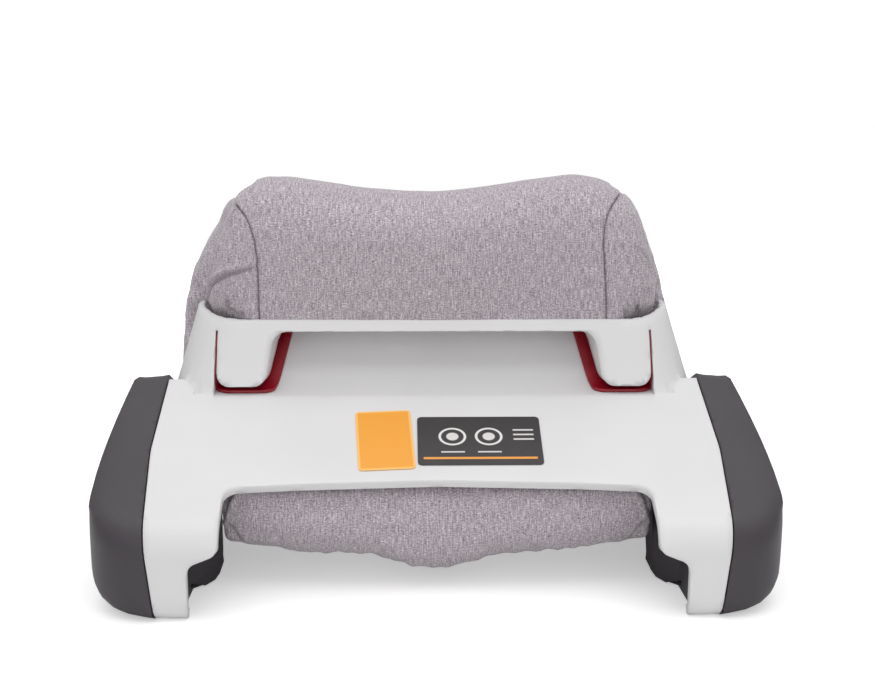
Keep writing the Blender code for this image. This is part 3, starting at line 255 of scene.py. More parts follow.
def add_node(tree, kind, links=None, **settings):
    """Adds a node.

    Settings name its properties, or else its inputs; links join its inputs to outputs of other nodes.
    """
    node = tree.nodes.new(kind)
    for name, value in settings.items():
        if hasattr(node, name):
            setattr(node, name, value)
        else:
            node.inputs[name.replace("_", " ")].default_value = value
    for name, source in (links or {}).items():
        tree.links.new(source, node.inputs[name])
    return node


def new_material(name):
    material = bpy.data.materials.new(name)
    material.use_nodes = True
    tree = material.node_tree
    return material, tree, tree.nodes["Principled BSDF"]


def colour_ramp(tree, source, stops):
    ramp = tree.nodes.new("ShaderNodeValToRGB")
    while len(ramp.color_ramp.elements) < len(stops):
        ramp.color_ramp.elements.new(0.5)
    for element, (place, code) in zip(ramp.color_ramp.elements, stops):
        element.position = place
        element.color = linear(code)
    tree.links.new(source, ramp.inputs["Fac"])
    return ramp


def give(item, material):
    item.data.materials.clear()
    item.data.materials.append(material)


def moulded_white():
    """White ABS, moulded in a spark eroded tool: satin, with a grain that only breaks the gloss."""
    material, tree, shader = new_material("white_abs_satin")
    place = add_node(tree, "ShaderNodeTexCoord").outputs["Object"]
    grain = add_node(tree, "ShaderNodeTexNoise", {"Vector": place}, Scale=1800.0, Detail=3.0)
    flow = add_node(tree, "ShaderNodeTexNoise", {"Vector": place}, Scale=14.0, Detail=2.0)
    tint = colour_ramp(tree, flow.outputs["Fac"], [(0.3, "e0dfe0"), (0.7, "e4e3e4")])
    gloss = add_node(tree, "ShaderNodeMapRange", {"Value": grain.outputs["Fac"]}, To_Min=0.38, To_Max=0.46)
    bump = add_node(tree, "ShaderNodeBump", {"Height": grain.outputs["Fac"]}, Strength=0.12, Distance=0.0001)
    tree.links.new(tint.outputs["Color"], shader.inputs["Base Color"])
    tree.links.new(gloss.outputs["Result"], shader.inputs["Roughness"])
    tree.links.new(bump.outputs["Normal"], shader.inputs["Normal"])
    shader.inputs["IOR"].default_value = 1.53
    return material


def moulded_red():
    """Red PA6 nylon, polished tool: deep colour with a clear soft gloss."""
    material, tree, shader = new_material("red_nylon_gloss")
    place = add_node(tree, "ShaderNodeTexCoord").outputs["Object"]
    flow = add_node(tree, "ShaderNodeTexNoise", {"Vector": place}, Scale=60.0, Detail=2.0)
    tint = colour_ramp(tree, flow.outputs["Fac"], [(0.3, "8c0d1e"), (0.7, "9a1022")])
    tree.links.new(tint.outputs["Color"], shader.inputs["Base Color"])
    gloss = add_node(tree, "ShaderNodeMapRange", {"Value": flow.outputs["Fac"]}, To_Min=0.20, To_Max=0.30)
    tree.links.new(gloss.outputs["Result"], shader.inputs["Roughness"])
    shader.inputs["IOR"].default_value = 1.53
    return material


def moulded_dark():
    """Dark grey PP with an etched leather-fine grain: low gloss that lifts towards grazing light."""
    material, tree, shader = new_material("dark_pp_grained")
    place = add_node(tree, "ShaderNodeTexCoord").outputs["Object"]
    # etched grain with cells of about 0.9 mm, the smallest that still show
    grain = add_node(tree, "ShaderNodeTexVoronoi", {"Vector": place}, Scale=1100.0)
    fine = add_node(tree, "ShaderNodeTexNoise", {"Vector": place}, Scale=2600.0, Detail=2.0)
    flow = add_node(tree, "ShaderNodeTexNoise", {"Vector": place}, Scale=18.0, Detail=3.0)
    tint = colour_ramp(tree, flow.outputs["Fac"], [(0.3, "3f3a40"), (0.7, "443f45")])
    height = add_node(tree, "ShaderNodeMath", {0: grain.outputs["Distance"], 1: fine.outputs["Fac"]},
                      operation="ADD")
    bump = add_node(tree, "ShaderNodeBump", {"Height": height.outputs[0]}, Strength=0.35, Distance=0.0002)
    gloss = add_node(tree, "ShaderNodeMapRange", {"Value": fine.outputs["Fac"]}, To_Min=0.38, To_Max=0.47)
    tree.links.new(tint.outputs["Color"], shader.inputs["Base Color"])
    tree.links.new(gloss.outputs["Result"], shader.inputs["Roughness"])
    tree.links.new(bump.outputs["Normal"], shader.inputs["Normal"])
    shader.inputs["IOR"].default_value = 1.49
    return material


def heather_weave():
    """Plain woven polyester melange: grey threads of mixed shades, with slubs along both thread ways."""
    material, tree, shader = new_material("heather_polyester_weave")
    place = add_node(tree, "ShaderNodeUVMap", uv_map="cloth").outputs["UV"]
    # threads are about 0.45 mm apart, drawn at 0.8 mm so that they show; slubs run 2 to 8 mm
    along = add_node(tree, "ShaderNodeMapping", {"Vector": place}, Scale=(1 / thread_width, 120.0, 1.0))
    across = add_node(tree, "ShaderNodeMapping", {"Vector": place}, Scale=(420.0, 1 / thread_width, 1.0))
    warp, weft = [add_node(tree, "ShaderNodeTexNoise", {"Vector": way.outputs[0]}, Scale=1.0, Detail=2.0,
                           Roughness=0.6) for way in (along, across)]
    fleck_place = add_node(tree, "ShaderNodeMapping", {"Vector": place}, Scale=(1500.0, 900.0, 1.0))
    fleck = add_node(tree, "ShaderNodeTexNoise", {"Vector": fleck_place.outputs[0]}, Scale=1.0, Detail=3.0)
    threads = add_node(tree, "ShaderNodeMath", {0: warp.outputs["Fac"], 1: weft.outputs["Fac"]},
                       operation="ADD")
    flecked = add_node(tree, "ShaderNodeMath", {0: threads.outputs[0], 1: fleck.outputs["Fac"]},
                       operation="ADD")
    share = add_node(tree, "ShaderNodeMath", {0: flecked.outputs[0]}, operation="MULTIPLY")
    share.inputs[1].default_value = 1 / 3
    tint = colour_ramp(tree, share.outputs[0], [(0.38, "766c74"), (0.46, "a1979f"), (0.53, "bcb3ba"),
                                                (0.60, "dfd8dc")])
    bump = add_node(tree, "ShaderNodeBump", {"Height": share.outputs[0]}, Strength=0.5, Distance=0.0006)
    # painted shade: along seams and folds the thread colour is darkened towards 6d656c, from an attribute
    # laid on the cloth, for the shade in those creases
    painted_crease_shade = add_node(tree, "ShaderNodeAttribute", attribute_name="painted_crease_shade")
    shaded = add_node(tree, "ShaderNodeMix", data_type="RGBA", blend_type="MULTIPLY")
    depth = add_node(tree, "ShaderNodeMath", {0: painted_crease_shade.outputs["Fac"]}, operation="MULTIPLY")
    depth.inputs[1].default_value = 0.75
    tree.links.new(depth.outputs[0], shaded.inputs[0])
    tree.links.new(tint.outputs["Color"], shaded.inputs[mix_below])
    shaded.inputs[mix_above].default_value = linear("6d656c")
    tree.links.new(shaded.outputs[mix_result], shader.inputs["Base Color"])
    tree.links.new(bump.outputs["Normal"], shader.inputs["Normal"])
    shader.inputs["Roughness"].default_value = 0.9
    shader.inputs["Sheen Weight"].default_value = 0.25
    shader.inputs["Sheen Roughness"].default_value = 0.5
    return material


def bead_foam():
    """Black expanded polypropylene: fused beads of about 3 mm."""
    material, tree, shader = new_material("black_epp_beads")
    place = add_node(tree, "ShaderNodeTexCoord").outputs["Object"]
    beads = add_node(tree, "ShaderNodeTexVoronoi", {"Vector": place}, Scale=330.0)
    tint = colour_ramp(tree, beads.outputs["Distance"], [(0.1, "2e2e30"), (0.8, "1b1b1d")])
    bump = add_node(tree, "ShaderNodeBump", {"Height": beads.outputs["Distance"]}, Strength=0.6,
                    Distance=0.0005, invert=True)
    tree.links.new(tint.outputs["Color"], shader.inputs["Base Color"])
    tree.links.new(bump.outputs["Normal"], shader.inputs["Normal"])
    shader.inputs["Roughness"].default_value = 0.75
    return material


def moulded_carrier():
    """Black PP carrier plate with a plain moulded surface."""
    material, tree, shader = new_material("black_pp_plain")
    place = add_node(tree, "ShaderNodeTexCoord").outputs["Object"]
    flow = add_node(tree, "ShaderNodeTexNoise", {"Vector": place}, Scale=40.0, Detail=4.0)
    tint = colour_ramp(tree, flow.outputs["Fac"], [(0.3, "252527"), (0.7, "2c2c2e")])
    tree.links.new(tint.outputs["Color"], shader.inputs["Base Color"])
    shader.inputs["Roughness"].default_value = 0.5
    return material


def zinc_steel():
    """Zinc plated steel screw: bright, with turned marks."""
    material, tree, shader = new_material("zinc_plated_steel")
    place = add_node(tree, "ShaderNodeTexCoord").outputs["Object"]
    marks = add_node(tree, "ShaderNodeTexNoise", {"Vector": place}, Scale=1500.0, Detail=2.0)
    tint = colour_ramp(tree, marks.outputs["Fac"], [(0.3, "a9abb0"), (0.7, "c3c5ca")])
    gloss = add_node(tree, "ShaderNodeMapRange", {"Value": marks.outputs["Fac"]}, To_Min=0.22, To_Max=0.38)
    tree.links.new(tint.outputs["Color"], shader.inputs["Base Color"])
    tree.links.new(gloss.outputs["Result"], shader.inputs["Roughness"])
    shader.inputs["Metallic"].default_value = 1.0
    return material


def soft_step(tree, source, low, high):
    """1 below low and 0 above high, for the edge of a printed shape."""
    return add_node(tree, "ShaderNodeMapRange", {"Value": source}, From_Min=low, From_Max=high, To_Min=1.0,
                    To_Max=0.0).outputs["Result"]


def printed_disc(tree, place, centre, radius):
    gap = add_node(tree, "ShaderNodeVectorMath", {0: place}, operation="DISTANCE")
    gap.inputs[1].default_value = centre
    return soft_step(tree, gap.outputs["Value"], radius - print_edge, radius + print_edge)


def printed_bar(tree, place, centre, size):
    """Upright rectangle, from the farther of the two distances to its middle lines."""
    parts = add_node(tree, "ShaderNodeSeparateXYZ", {"Vector": place})
    gaps = []
    for axis, middle, half in zip("XY", centre, size):
        off = add_node(tree, "ShaderNodeMath", {0: parts.outputs[axis]}, operation="SUBTRACT")
        off.inputs[1].default_value = middle
        span = add_node(tree, "ShaderNodeMath", {0: off.outputs[0]}, operation="ABSOLUTE")
        gap = add_node(tree, "ShaderNodeMath", {0: span.outputs[0]}, operation="SUBTRACT")
        gap.inputs[1].default_value = half / 2
        gaps.append(gap.outputs[0])
    far = add_node(tree, "ShaderNodeMath", {0: gaps[0], 1: gaps[1]}, operation="MAXIMUM")
    return soft_step(tree, far.outputs[0], -print_edge, print_edge)


def either(tree, shapes):
    total = shapes[0]
    for shape in shapes[1:]:
        total = add_node(tree, "ShaderNodeMath", {0: total, 1: shape}, operation="MAXIMUM").outputs[0]
    return total


def print_over(tree, below, shape, code):
    """One printed colour over what lies below it."""
    mix = add_node(tree, "ShaderNodeMix", data_type="RGBA")
    tree.links.new(shape, mix.inputs[0])
    tree.links.new(below, mix.inputs[mix_below])
    mix.inputs[mix_above].default_value = linear(code)
    return mix.outputs[mix_result]


def sticker_film(name, low, high, artwork):
    """Printed polyester film under a clear satin laminate."""
    material, tree, shader = new_material(name)
    place = add_node(tree, "ShaderNodeTexCoord").outputs["Object"]
    flat = add_node(tree, "ShaderNodeVectorMath", {0: place}, operation="MULTIPLY")
    flat.inputs[1].default_value = (1.0, 1.0 / panel_slope_share, 0.0)
    flow = add_node(tree, "ShaderNodeTexNoise", {"Vector": place}, Scale=90.0, Detail=3.0)
    tint = colour_ramp(tree, flow.outputs["Fac"], [(0.3, low), (0.7, high)])
    colour = artwork(tree, flat.outputs[0], tint.outputs["Color"])
    tree.links.new(colour, shader.inputs["Base Color"])
    shader.inputs["Roughness"].default_value = 0.32
    shader.inputs["Coat Weight"].default_value = 0.25
    shader.inputs["Coat Roughness"].default_value = 0.2
    return material


def orange_artwork(tree, place, colour):
    """A paler border round a bare field."""
    middle = (orange_middle[0], orange_middle[1] / panel_slope_share, 0.0)
    turned = add_node(tree, "ShaderNodeVectorRotate", {"Vector": place}, Angle=math.radians(-orange_turn),
                      Center=middle)
    border = printed_bar(tree, place, middle, film_reach)
    field = printed_bar(tree, turned.outputs[0], middle, orange_field)
    return print_over(tree, print_over(tree, colour, border, "ffc56c"), field, "f8a72e")


def dark_artwork(tree, place, colour):
    """Plain marks: an orange stripe, two rings with a dot and a few pale bars."""
    middle = dark_middle_y / panel_slope_share

    def discs(radius):
        return [printed_disc(tree, place, (x, middle + ring_height, 0.0), radius) for x in ring_places]

    def bar(x, height, size):
        return printed_bar(tree, place, (x, middle + height), size)

    rings, holes, dots = discs(ring_radius), discs(ring_hole_radius), discs(dot_radius)
    bars = [bar(text_bars_x, height, text_bar) for height in text_bar_heights]
    bars += [bar(x, underline_height, underline) for x in ring_places]
    colour = print_over(tree, colour, either(tree, rings), "e9e6e4")
    colour = print_over(tree, colour, either(tree, holes), "2b2829")
    colour = print_over(tree, colour, either(tree, dots + bars), "dedbd9")
    return print_over(tree, colour, bar(*stripe_place, stripe), "f5a23a")


def copy_of(node, name):
    """A merged copy of a CAD node, with its own mesh."""
    source = frame["nodes"][node]
    item = bpy.data.objects.new(name, source.data.copy())
    bpy.context.collection.objects.link(item)
    item.data.transform(source.matrix_world)
    data = bmesh.new()
    data.from_mesh(item.data)
    bmesh.ops.remove_doubles(data, verts=data.verts, dist=merge_distance)
    bmesh.ops.recalc_face_normals(data, faces=data.faces)
    data.to_mesh(item.data)
    data.free()
    item.data.materials.clear()
    return item


def only(item):
    bpy.ops.object.select_all(action="DESELECT")
    bpy.context.view_layer.objects.active = item
    item.select_set(True)


def apply_all(item):
    only(item)
    for step in list(item.modifiers):
        bpy.ops.object.modifier_apply(modifier=step.name)


def edit_all(item, step, **settings):
    """One edit mode step on the whole mesh."""
    only(item)
    bpy.ops.object.mode_set(mode="EDIT")
    bpy.ops.mesh.select_all(action="SELECT")
    step(**settings)
    bpy.ops.object.mode_set(mode="OBJECT")


def blow_up(item):
    """The cover pulled tight over its foam, by pressure from inside."""
    cloth = item.modifiers.new("cloth", "CLOTH")
    cloth.settings.quality = 4
    cloth.settings.mass = 0.3
    cloth.settings.tension_stiffness = 15
    cloth.settings.compression_stiffness = 15
    cloth.settings.bending_stiffness = 0.6
    cloth.settings.use_pressure = True
    cloth.settings.uniform_pressure_force = pad_pressure
    cloth.settings.effector_weights.gravity = 0
    cloth.point_cache.frame_start = 1
    cloth.point_cache.frame_end = inflate_frames
    for number in range(1, inflate_frames + 1):
        bpy.context.scene.frame_set(number)
    apply_all(item)
    bpy.context.scene.frame_set(1)


def soft_body(nodes, name, voxel=pad_voxel, shrink=pad_shrink, limit=pad_limit, rounds=pad_rounds,
              fuller=()):
    """Foam under cloth, from the CAD solids that one cover wraps: one mesh, drawn in, then blown up."""
    forms = [copy_of(node, node + "_form") for node in nodes]
    for form, node in zip(forms, nodes):
        if node in fuller:
            edit_all(form, bpy.ops.transform.shrink_fatten, value=side_fullness)
    item = forms[0]
    item.name = name
    only(item)
    if len(forms) > 1:
        for form in forms[1:]:
            form.select_set(True)
        bpy.ops.object.join()
    remesh = item.modifiers.new("remesh", "REMESH")
    remesh.mode = "VOXEL"
    remesh.voxel_size = voxel
    apply_all(item)
    edit_all(item, bpy.ops.transform.shrink_fatten, value=-shrink)
    start = [vert.co.copy() for vert in item.data.vertices]
    blow_up(item)
    for vert, old in zip(item.data.vertices, start):
        move = vert.co - old
        if move.length > limit:
            vert.co = old + move.normalized() * limit
    smooth = item.modifiers.new("smooth", "SMOOTH")
    smooth.factor = 0.5
    smooth.iterations = rounds
    sub = item.modifiers.new("subdivision", "SUBSURF")
    sub.levels = 1
    sub.render_levels = 1
    apply_all(item)
    edit_all(item, bpy.ops.transform.shrink_fatten, value=shrink * regrow_share)
    item.data.shade_smooth()
    return item


def ease(value, low, high):
    """0 below low, 1 above high, smooth between them."""
    share = max(0.0, min(1.0, (value - low) / (high - low)))
    return share * share * (3.0 - 2.0 * share)


def profile(value, points):
    """Straight lines through a few (place, value) points."""
    if value <= points[0][0]:
        return points[0][1]
    for (low, first), (high, last) in zip(points, points[1:]):
        if value <= high:
            return first + (last - first) * (value - low) / (high - low)
    return points[-1][1]


def push_points(item, move):
    """Moves each point by what move(place, normal) gives."""
    normals = [vert.normal.copy() for vert in item.data.vertices]
    for vert, normal in zip(item.data.vertices, normals):
        vert.co += move(vert.co, normal)
    item.data.update()


def line_distance(point, line):
    """Distance to a line of points, and how far along it the nearest place is, from 0 to 1."""
    best, best_share = 1.0, 0.0
    for number, (start, end) in enumerate(zip(line, line[1:])):
        way = end - start
        share = max(0.0, min(1.0, (point - start).dot(way) / way.length_squared))
        near = (point - start - way * share).length
        if near < best:
            best, best_share = near, (number + share) / (len(line) - 1)
    return best, best_share


def fade_at_ends(share):
    """Full strength in the middle of a fold line, and little at its ends."""
    return math.sin(math.pi * (fade_start + fade_run * share)) ** fade_power


def fold(item, line, width, depth, lip=0.0, side=None):
    """A fold in the cloth: a channel along the line, with a fuller lip on the side that lies over it."""
    line = [Vector(point) for point in line]
    low = [min(point[k] for point in line) - width * fold_reach for k in range(3)]
    high = [max(point[k] for point in line) + width * fold_reach for k in range(3)]
    side = Vector(side) if side else None

    def move(place, normal):
        if any(place[k] < low[k] or place[k] > high[k] for k in range(3)):
            return Vector()
        near, share = line_distance(place, line)
        if near > width * fold_reach:
            return Vector()
        rise = -depth * math.exp(-(near / width) ** 2)
        if side:
            nearest = line[min(len(line) - 1, int(share * (len(line) - 1) + 0.5))]
            if (place - nearest).dot(side) > 0:
                rise += lip * math.exp(-((near - width * lip_place) / (width * lip_width)) ** 2)
        return normal * rise * fade_at_ends(share)

    push_points(item, move)


def crumple(item, size, depth, seed, weight=None):
    """Soft unevenness of the foam and cloth."""
    offset = Vector((seed, seed * 0.7, -seed))

    def move(place, normal):
        rise = noise.noise(Vector([place[k] / size[k] for k in range(3)]) + offset)
        return normal * depth * rise * (weight(place) if weight else 1.0)

    push_points(item, move)


def lay_cloth(item):
    """Cloth map in metres: each face takes it along its own main directions, threads upright."""
    mesh = item.data
    layer = mesh.uv_layers.new(name="cloth")
    for face in mesh.polygons:
        turn = [abs(part) for part in face.normal]
        across, up = ((1, 2), (0, 2), (0, 1))[turn.index(max(turn))]
        for k in face.loop_indices:
            place = mesh.vertices[mesh.loops[k].vertex_index].co
            layer.data[k].uv = (place[across], place[up])


def cut_loop(item, place, normal):
    """A ring of new edges where a plane crosses the mesh."""
    edit_all(item, bpy.ops.mesh.bisect, plane_co=place, plane_no=normal)


def keep_below(item, place, normal):
    """Cuts a closed piece off at a plane; what lies on the side of the normal goes."""
    only(item)
    bpy.ops.object.mode_set(mode="EDIT")
    bpy.ops.mesh.select_all(action="SELECT")
    bpy.ops.mesh.bisect(plane_co=place, plane_no=normal, use_fill=True, clear_outer=True)
    bpy.ops.mesh.mark_sharp()
    bpy.ops.object.mode_set(mode="OBJECT")


def cut_piece(item, name, cuts):
    piece = bpy.data.objects.new(name, item.data.copy())
    bpy.context.collection.objects.link(piece)
    for place, normal in cuts:
        keep_below(piece, place, normal)
    return piece


def finish_cloth(item, fabric, nodes):
    lay_cloth(item)
    give(item, fabric)
    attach(item, "root")
    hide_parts(*nodes)


def even_out(item, longest, rounds):
    """Long facets cut shorter and eased, so that rounded corners run smoothly; sharp edges stay."""
    data = bmesh.new()
    data.from_mesh(item.data)
    for _ in range(facet_passes):
        edges = [edge for edge in data.edges if edge.calc_length() > longest]
        if not edges:
            break
        bmesh.ops.subdivide_edges(data, edges=edges, cuts=1)
        bmesh.ops.triangulate(data, faces=[face for face in data.faces if len(face.verts) > 3])
    eased = [vert for vert in data.verts
             if all(edge.calc_face_angle(open_edge_angle) < sharp_angle for edge in vert.link_edges)]
    for _ in range(rounds):
        bmesh.ops.smooth_vert(data, verts=eased, factor=0.5, use_axis_x=True, use_axis_y=True,
                              use_axis_z=True)
    data.to_mesh(item.data)
    data.free()


def smooth_shell(node, name, longest=facet_length, rounds=facet_rounds):
    """A moulding from its CAD solid: merged, evened out, shaded smooth up to its edges."""
    item = copy_of(node, name)
    even_out(item, longest, rounds)
    only(item)
    bpy.ops.object.shade_smooth_by_angle(angle=math.radians(smooth_degrees))
    weigh = item.modifiers.new("weighted_normals", "WEIGHTED_NORMAL")
    weigh.mode = "FACE_AREA_WITH_ANGLE"
    weigh.weight = normal_weight
    weigh.keep_sharp = True
    apply_all(item)
    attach(item, "root")
    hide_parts(node)
    return item


def light_panel(name, place, aim, size, power):
    lamp = bpy.data.lights.new(name, "AREA")
    lamp.shape = "RECTANGLE"
    lamp.size, lamp.size_y = size
    lamp.energy = power
    item = bpy.data.objects.new(name, lamp)
    bpy.context.collection.objects.link(item)
    item.location = place
    item.rotation_euler = (Vector(aim) - Vector(place)).to_track_quat("-Z", "Y").to_euler()


def studio_floor():
    """White paper that turns fully white away from the object, so that no horizon shows."""
    bpy.ops.mesh.primitive_plane_add(size=1.0)
    floor = bpy.context.object
    floor.name = "studio_floor"
    floor.data.transform(Matrix.Diagonal((floor_side, floor_side, 1.0, 1.0)))
    material, tree, shader = new_material("studio_paper")
    shader.inputs["Base Color"].default_value = (floor_grey, floor_grey, floor_grey, 1)
    shader.inputs["Roughness"].default_value = 0.9
    path = add_node(tree, "ShaderNodeLightPath")
    place = add_node(tree, "ShaderNodeTexCoord").outputs["Object"]
    reach = add_node(tree, "ShaderNodeVectorMath", {0: place}, operation="LENGTH")
    white = add_node(tree, "ShaderNodeMapRange", {"Value": reach.outputs["Value"]},
                     From_Min=floor_white_from, From_Max=floor_white_to, To_Min=floor_lift, To_Max=1.0)
    lift = add_node(tree, "ShaderNodeMath", {0: path.outputs["Is Camera Ray"], 1: white.outputs["Result"]},
                    operation="MULTIPLY")
    glow = add_node(tree, "ShaderNodeEmission", {"Strength": lift.outputs[0]})
    both = add_node(tree, "ShaderNodeAddShader", {0: shader.outputs[0], 1: glow.outputs[0]})
    tree.links.new(both.outputs[0], tree.nodes["Material Output"].inputs["Surface"])
    give(floor, material)


def white_tent():
    """White all round for the camera; as light it is brighter overhead than at the sides."""
    world = bpy.data.worlds.new("studio")
    bpy.context.scene.world = world
    world.use_nodes = True
    tree = world.node_tree
    background = tree.nodes["Background"]
    background.inputs["Color"].default_value = (1.0, 1.0, 1.0, 1.0)
    path = add_node(tree, "ShaderNodeLightPath")
    sky = add_node(tree, "ShaderNodeTexCoord").outputs["Generated"]
    way = add_node(tree, "ShaderNodeSeparateXYZ", {"Vector": sky})
    tent = add_node(tree, "ShaderNodeMapRange", {"Value": way.outputs["Z"]}, From_Min=0.0, From_Max=tent_top,
                    To_Min=tent_horizon, To_Max=tent_overhead)
    level = add_node(tree, "ShaderNodeMath", {0: path.outputs["Is Camera Ray"], 1: tent.outputs["Result"]},
                     operation="MAXIMUM")
    tree.links.new(level.outputs[0], background.inputs["Strength"])


def photo_camera():
    lens = bpy.data.cameras.new("photo_camera")
    lens.sensor_width = camera_sensor
    lens.lens = camera_lens
    lens.clip_start = 0.01
    item = bpy.data.objects.new("photo_camera", lens)
    bpy.context.collection.objects.link(item)
    item.location = camera_place
    elevation, azimuth = math.radians(camera_elevation), math.radians(camera_azimuth)
    roll = math.radians(camera_roll)
    back = Vector((math.sin(azimuth) * math.cos(elevation), -math.cos(azimuth) * math.cos(elevation),
                   math.sin(elevation)))
    turn = back.to_track_quat("Z", "Y").to_matrix()
    item.rotation_euler = (turn @ Matrix.Rotation(roll, 3, "Z")).to_euler()
    bpy.context.scene.camera = item


def shift_seam(place, straight):
    """Moves a point so that the curved seams lie in upright planes, or back from there."""
    side = -1 if place.x < 0 else 1
    wide = abs(place.x)
    curved = profile(place.z, seam_curve[side])
    start, end = (curved, seam_x) if straight else (seam_x, curved)
    if wide > start:
        wide += end - start
    elif wide > seam_start:
        wide = seam_start + (wide - seam_start) * (end - seam_start) / (start - seam_start)
    return Vector((side * wide, place.y, place.z))


def fill_to_rim(place, normal):
    """The foam presses the front of the cover against the lip of the rim, less so at the rounded corners."""
    if place.z > rim_fill[-1][0] or place.z < rim_fill[0][0]:
        return Vector()
    front = ease(rim_fill_y - place.y, 0.0, rim_fill_depth)
    corner = 1.0 - ease(abs(place.x), *rim_corner_x)
    return Vector((0.0, -profile(place.z, rim_fill) * front * corner, 0.0))


def side_reach(item, side):
    """How far the side panel reaches out now, as pairs of height and half width."""
    reach = []
    for step in range(slice_count):
        low = slice_start + slice_height * step
        out = [side * vert.co.x for vert in item.data.vertices
               if vert.co.y > side_rear_y and low <= vert.co.z < low + slice_height]
        if out:
            reach.append((low + slice_height / 2, max(out)))
    return reach


def side_panel_shape(item):
    """The side panels run up from the chest pad and lean in to the gussets, steeper on the right."""
    present = {side: side_reach(item, side) for side in (-1, 1)}
    first_x, first_y, first_z = side_start

    def leaned(place, normal):
        side = -1 if place.x < 0 else 1
        out = side * place.x
        if place.z < first_z or place.y < first_y or out < first_x:
            return Vector()
        now = profile(place.z, present[side])
        change = profile(place.z, side_lean[side]) - now
        change = max(-side_push_limit, min(side_push_limit, change))
        change *= min(1.0, (out - first_x) / max(now - first_x, side_least_width))
        if change > 0:
            change *= ease(place.y, first_y, side_full_y) * ease(place.z, *side_rise_z)
        else:
            change *= ease(place.y, first_y, side_trim_y)
        return Vector((side * change, 0.0, 0.0))

    push_points(item, leaned)


def stuffed_high(place, normal):
    """The bolster is stuffed high and round at both ends, and a little higher right of the middle."""
    return Vector((0.0, 0.0, profile(place.x, bolster_rise) * ease(place.z, *bolster_rise_z)))


def corner_tuck(place, normal):
    """At the rounded corners of the tray the cover is drawn back from the rim."""
    low = 1.0 - ease(place.z, *tuck_z)
    if low <= 0.0 or place.z < tuck_floor_z or place.y > rim_fill_y:
        return Vector()
    share = low * ease(abs(place.x), *tuck_x)
    return Vector((math.copysign(tuck_inward, -place.x) * share, tuck_back * share, 0.0))


def ends_of_cover(least_x, least_z, front=-1.0, rear=1.0):
    """Test for a place at either end of the cover: how far out, how high, and between which depths."""
    return lambda place: abs(place.x) > least_x and place.z > least_z and front < place.y < rear


def relax(item, inside, rounds):
    """Loosens part of the cloth, so that its edges run evenly."""
    group = item.vertex_groups.new(name="relaxed")
    group.add([vert.index for vert in item.data.vertices if inside(vert.co)], 1.0, "REPLACE")
    smooth = item.modifiers.new("relax", "SMOOTH")
    smooth.vertex_group = group.name
    smooth.factor = 0.5
    smooth.iterations = rounds
    apply_all(item)
    item.vertex_groups.clear()


def on_cloth(item, line):
    """The line laid on the cloth, with points close together."""
    line = [Vector(point) for point in line]
    places = []
    for start, end in zip(line, line[1:]):
        places += [start.lerp(end, step / line_parts) for step in range(line_parts)]
    places.append(line[-1])
    return [item.closest_point_on_mesh(place)[1] for place in places]


def shade_lines(item, name, lines, width):
    """Painted shade where the cloth is pressed into a seam or a fold, kept as an attribute from 0 to 1."""
    layer = item.data.attributes.get(name) or item.data.attributes.new(name, "FLOAT", "POINT")
    for line in lines:
        line = [Vector(point) for point in line]
        for vert in item.data.vertices:
            if (vert.co - line[0]).length > line_reach:
                continue
            near, share = line_distance(vert.co, line)
            if near < width * 3:
                amount = math.exp(-(near / width) ** 2) * fade_at_ends(share)
                layer.data[vert.index].value = max(layer.data[vert.index].value, amount)


def refine(item, inside):
    """Smaller faces where the cloth folds."""
    only(item)
    for face in item.data.polygons:
        face.select = inside(face.center)
    for part in (item.data.vertices, item.data.edges):
        part.foreach_set("select", [False] * len(part))
    for face in item.data.polygons:
        if face.select:
            for k in face.vertices:
                item.data.vertices[k].select = True
    bpy.ops.object.mode_set(mode="EDIT")
    bpy.ops.mesh.select_mode(type="FACE")
    bpy.ops.mesh.subdivide(number_cuts=2, smoothness=0.0)
    bpy.ops.mesh.select_mode(type="VERT")
    bpy.ops.object.mode_set(mode="OBJECT")


def fold_group(item, folds):
    """Lays a group of fold lines on the cloth, presses them in and gives the lines back."""
    lines = [on_cloth(item, each["line"]) for each in folds]
    for line, each in zip(lines, folds):
        fold(item, line, each["width"], each["depth"], each.get("lip", 0.0), each.get("over"))
    return lines


def fold_gussets(whole):
    """Folds of both gussets, and small gathers where the cover goes down behind the rim."""
    refine(whole, ends_of_cover(**folded_part))
    # left: a leaf shaped upper part over a lower roll, with the side panel behind both
    painted_crease_shade = fold_group(whole, left_gusset_folds)
    # right: flatter, with two slack creases towards its outer edge
    fold_group(whole, right_gusset_folds)
    for gather in rim_gathers:
        painted_crease_shade += fold_group(whole, [gather])
    relax(whole, ends_of_cover(**rear_loose), rear_loose_rounds)
    side_panel_shape(whole)
    # painted shade along the left gusset folds and the rim gathers
    shade_lines(whole, "painted_crease_shade", painted_crease_shade, fold_shade)


def draw_in_seams(whole):
    """Both bolster seams, as a groove along upright planes with painted shade along it."""
    for side in (-1, 1):
        for step in seam_rings:
            cut_loop(whole, (side * (seam_x + step), 0.0, 0.0), (1.0, 0.0, 0.0))

    def groove(place, normal):
        near = abs(abs(place.x) - seam_x)
        if near > seam_width * seam_reach or place.z < body_parting - parting_margin:
            return Vector()
        return normal * -seam_depth * math.exp(-abs(near / seam_width) ** seam_sharpness)

    # painted shade: a thin darker line along each seam, in the same attribute as the folds
    layer = whole.data.attributes["painted_crease_shade"]
    for vert in whole.data.vertices:
        near = abs(abs(vert.co.x) - seam_x)
        if near < seam_shade and vert.co.z > body_parting:
            layer.data[vert.index].value = max(layer.data[vert.index].value, 1.0 - near / seam_shade)
    push_points(whole, groove)


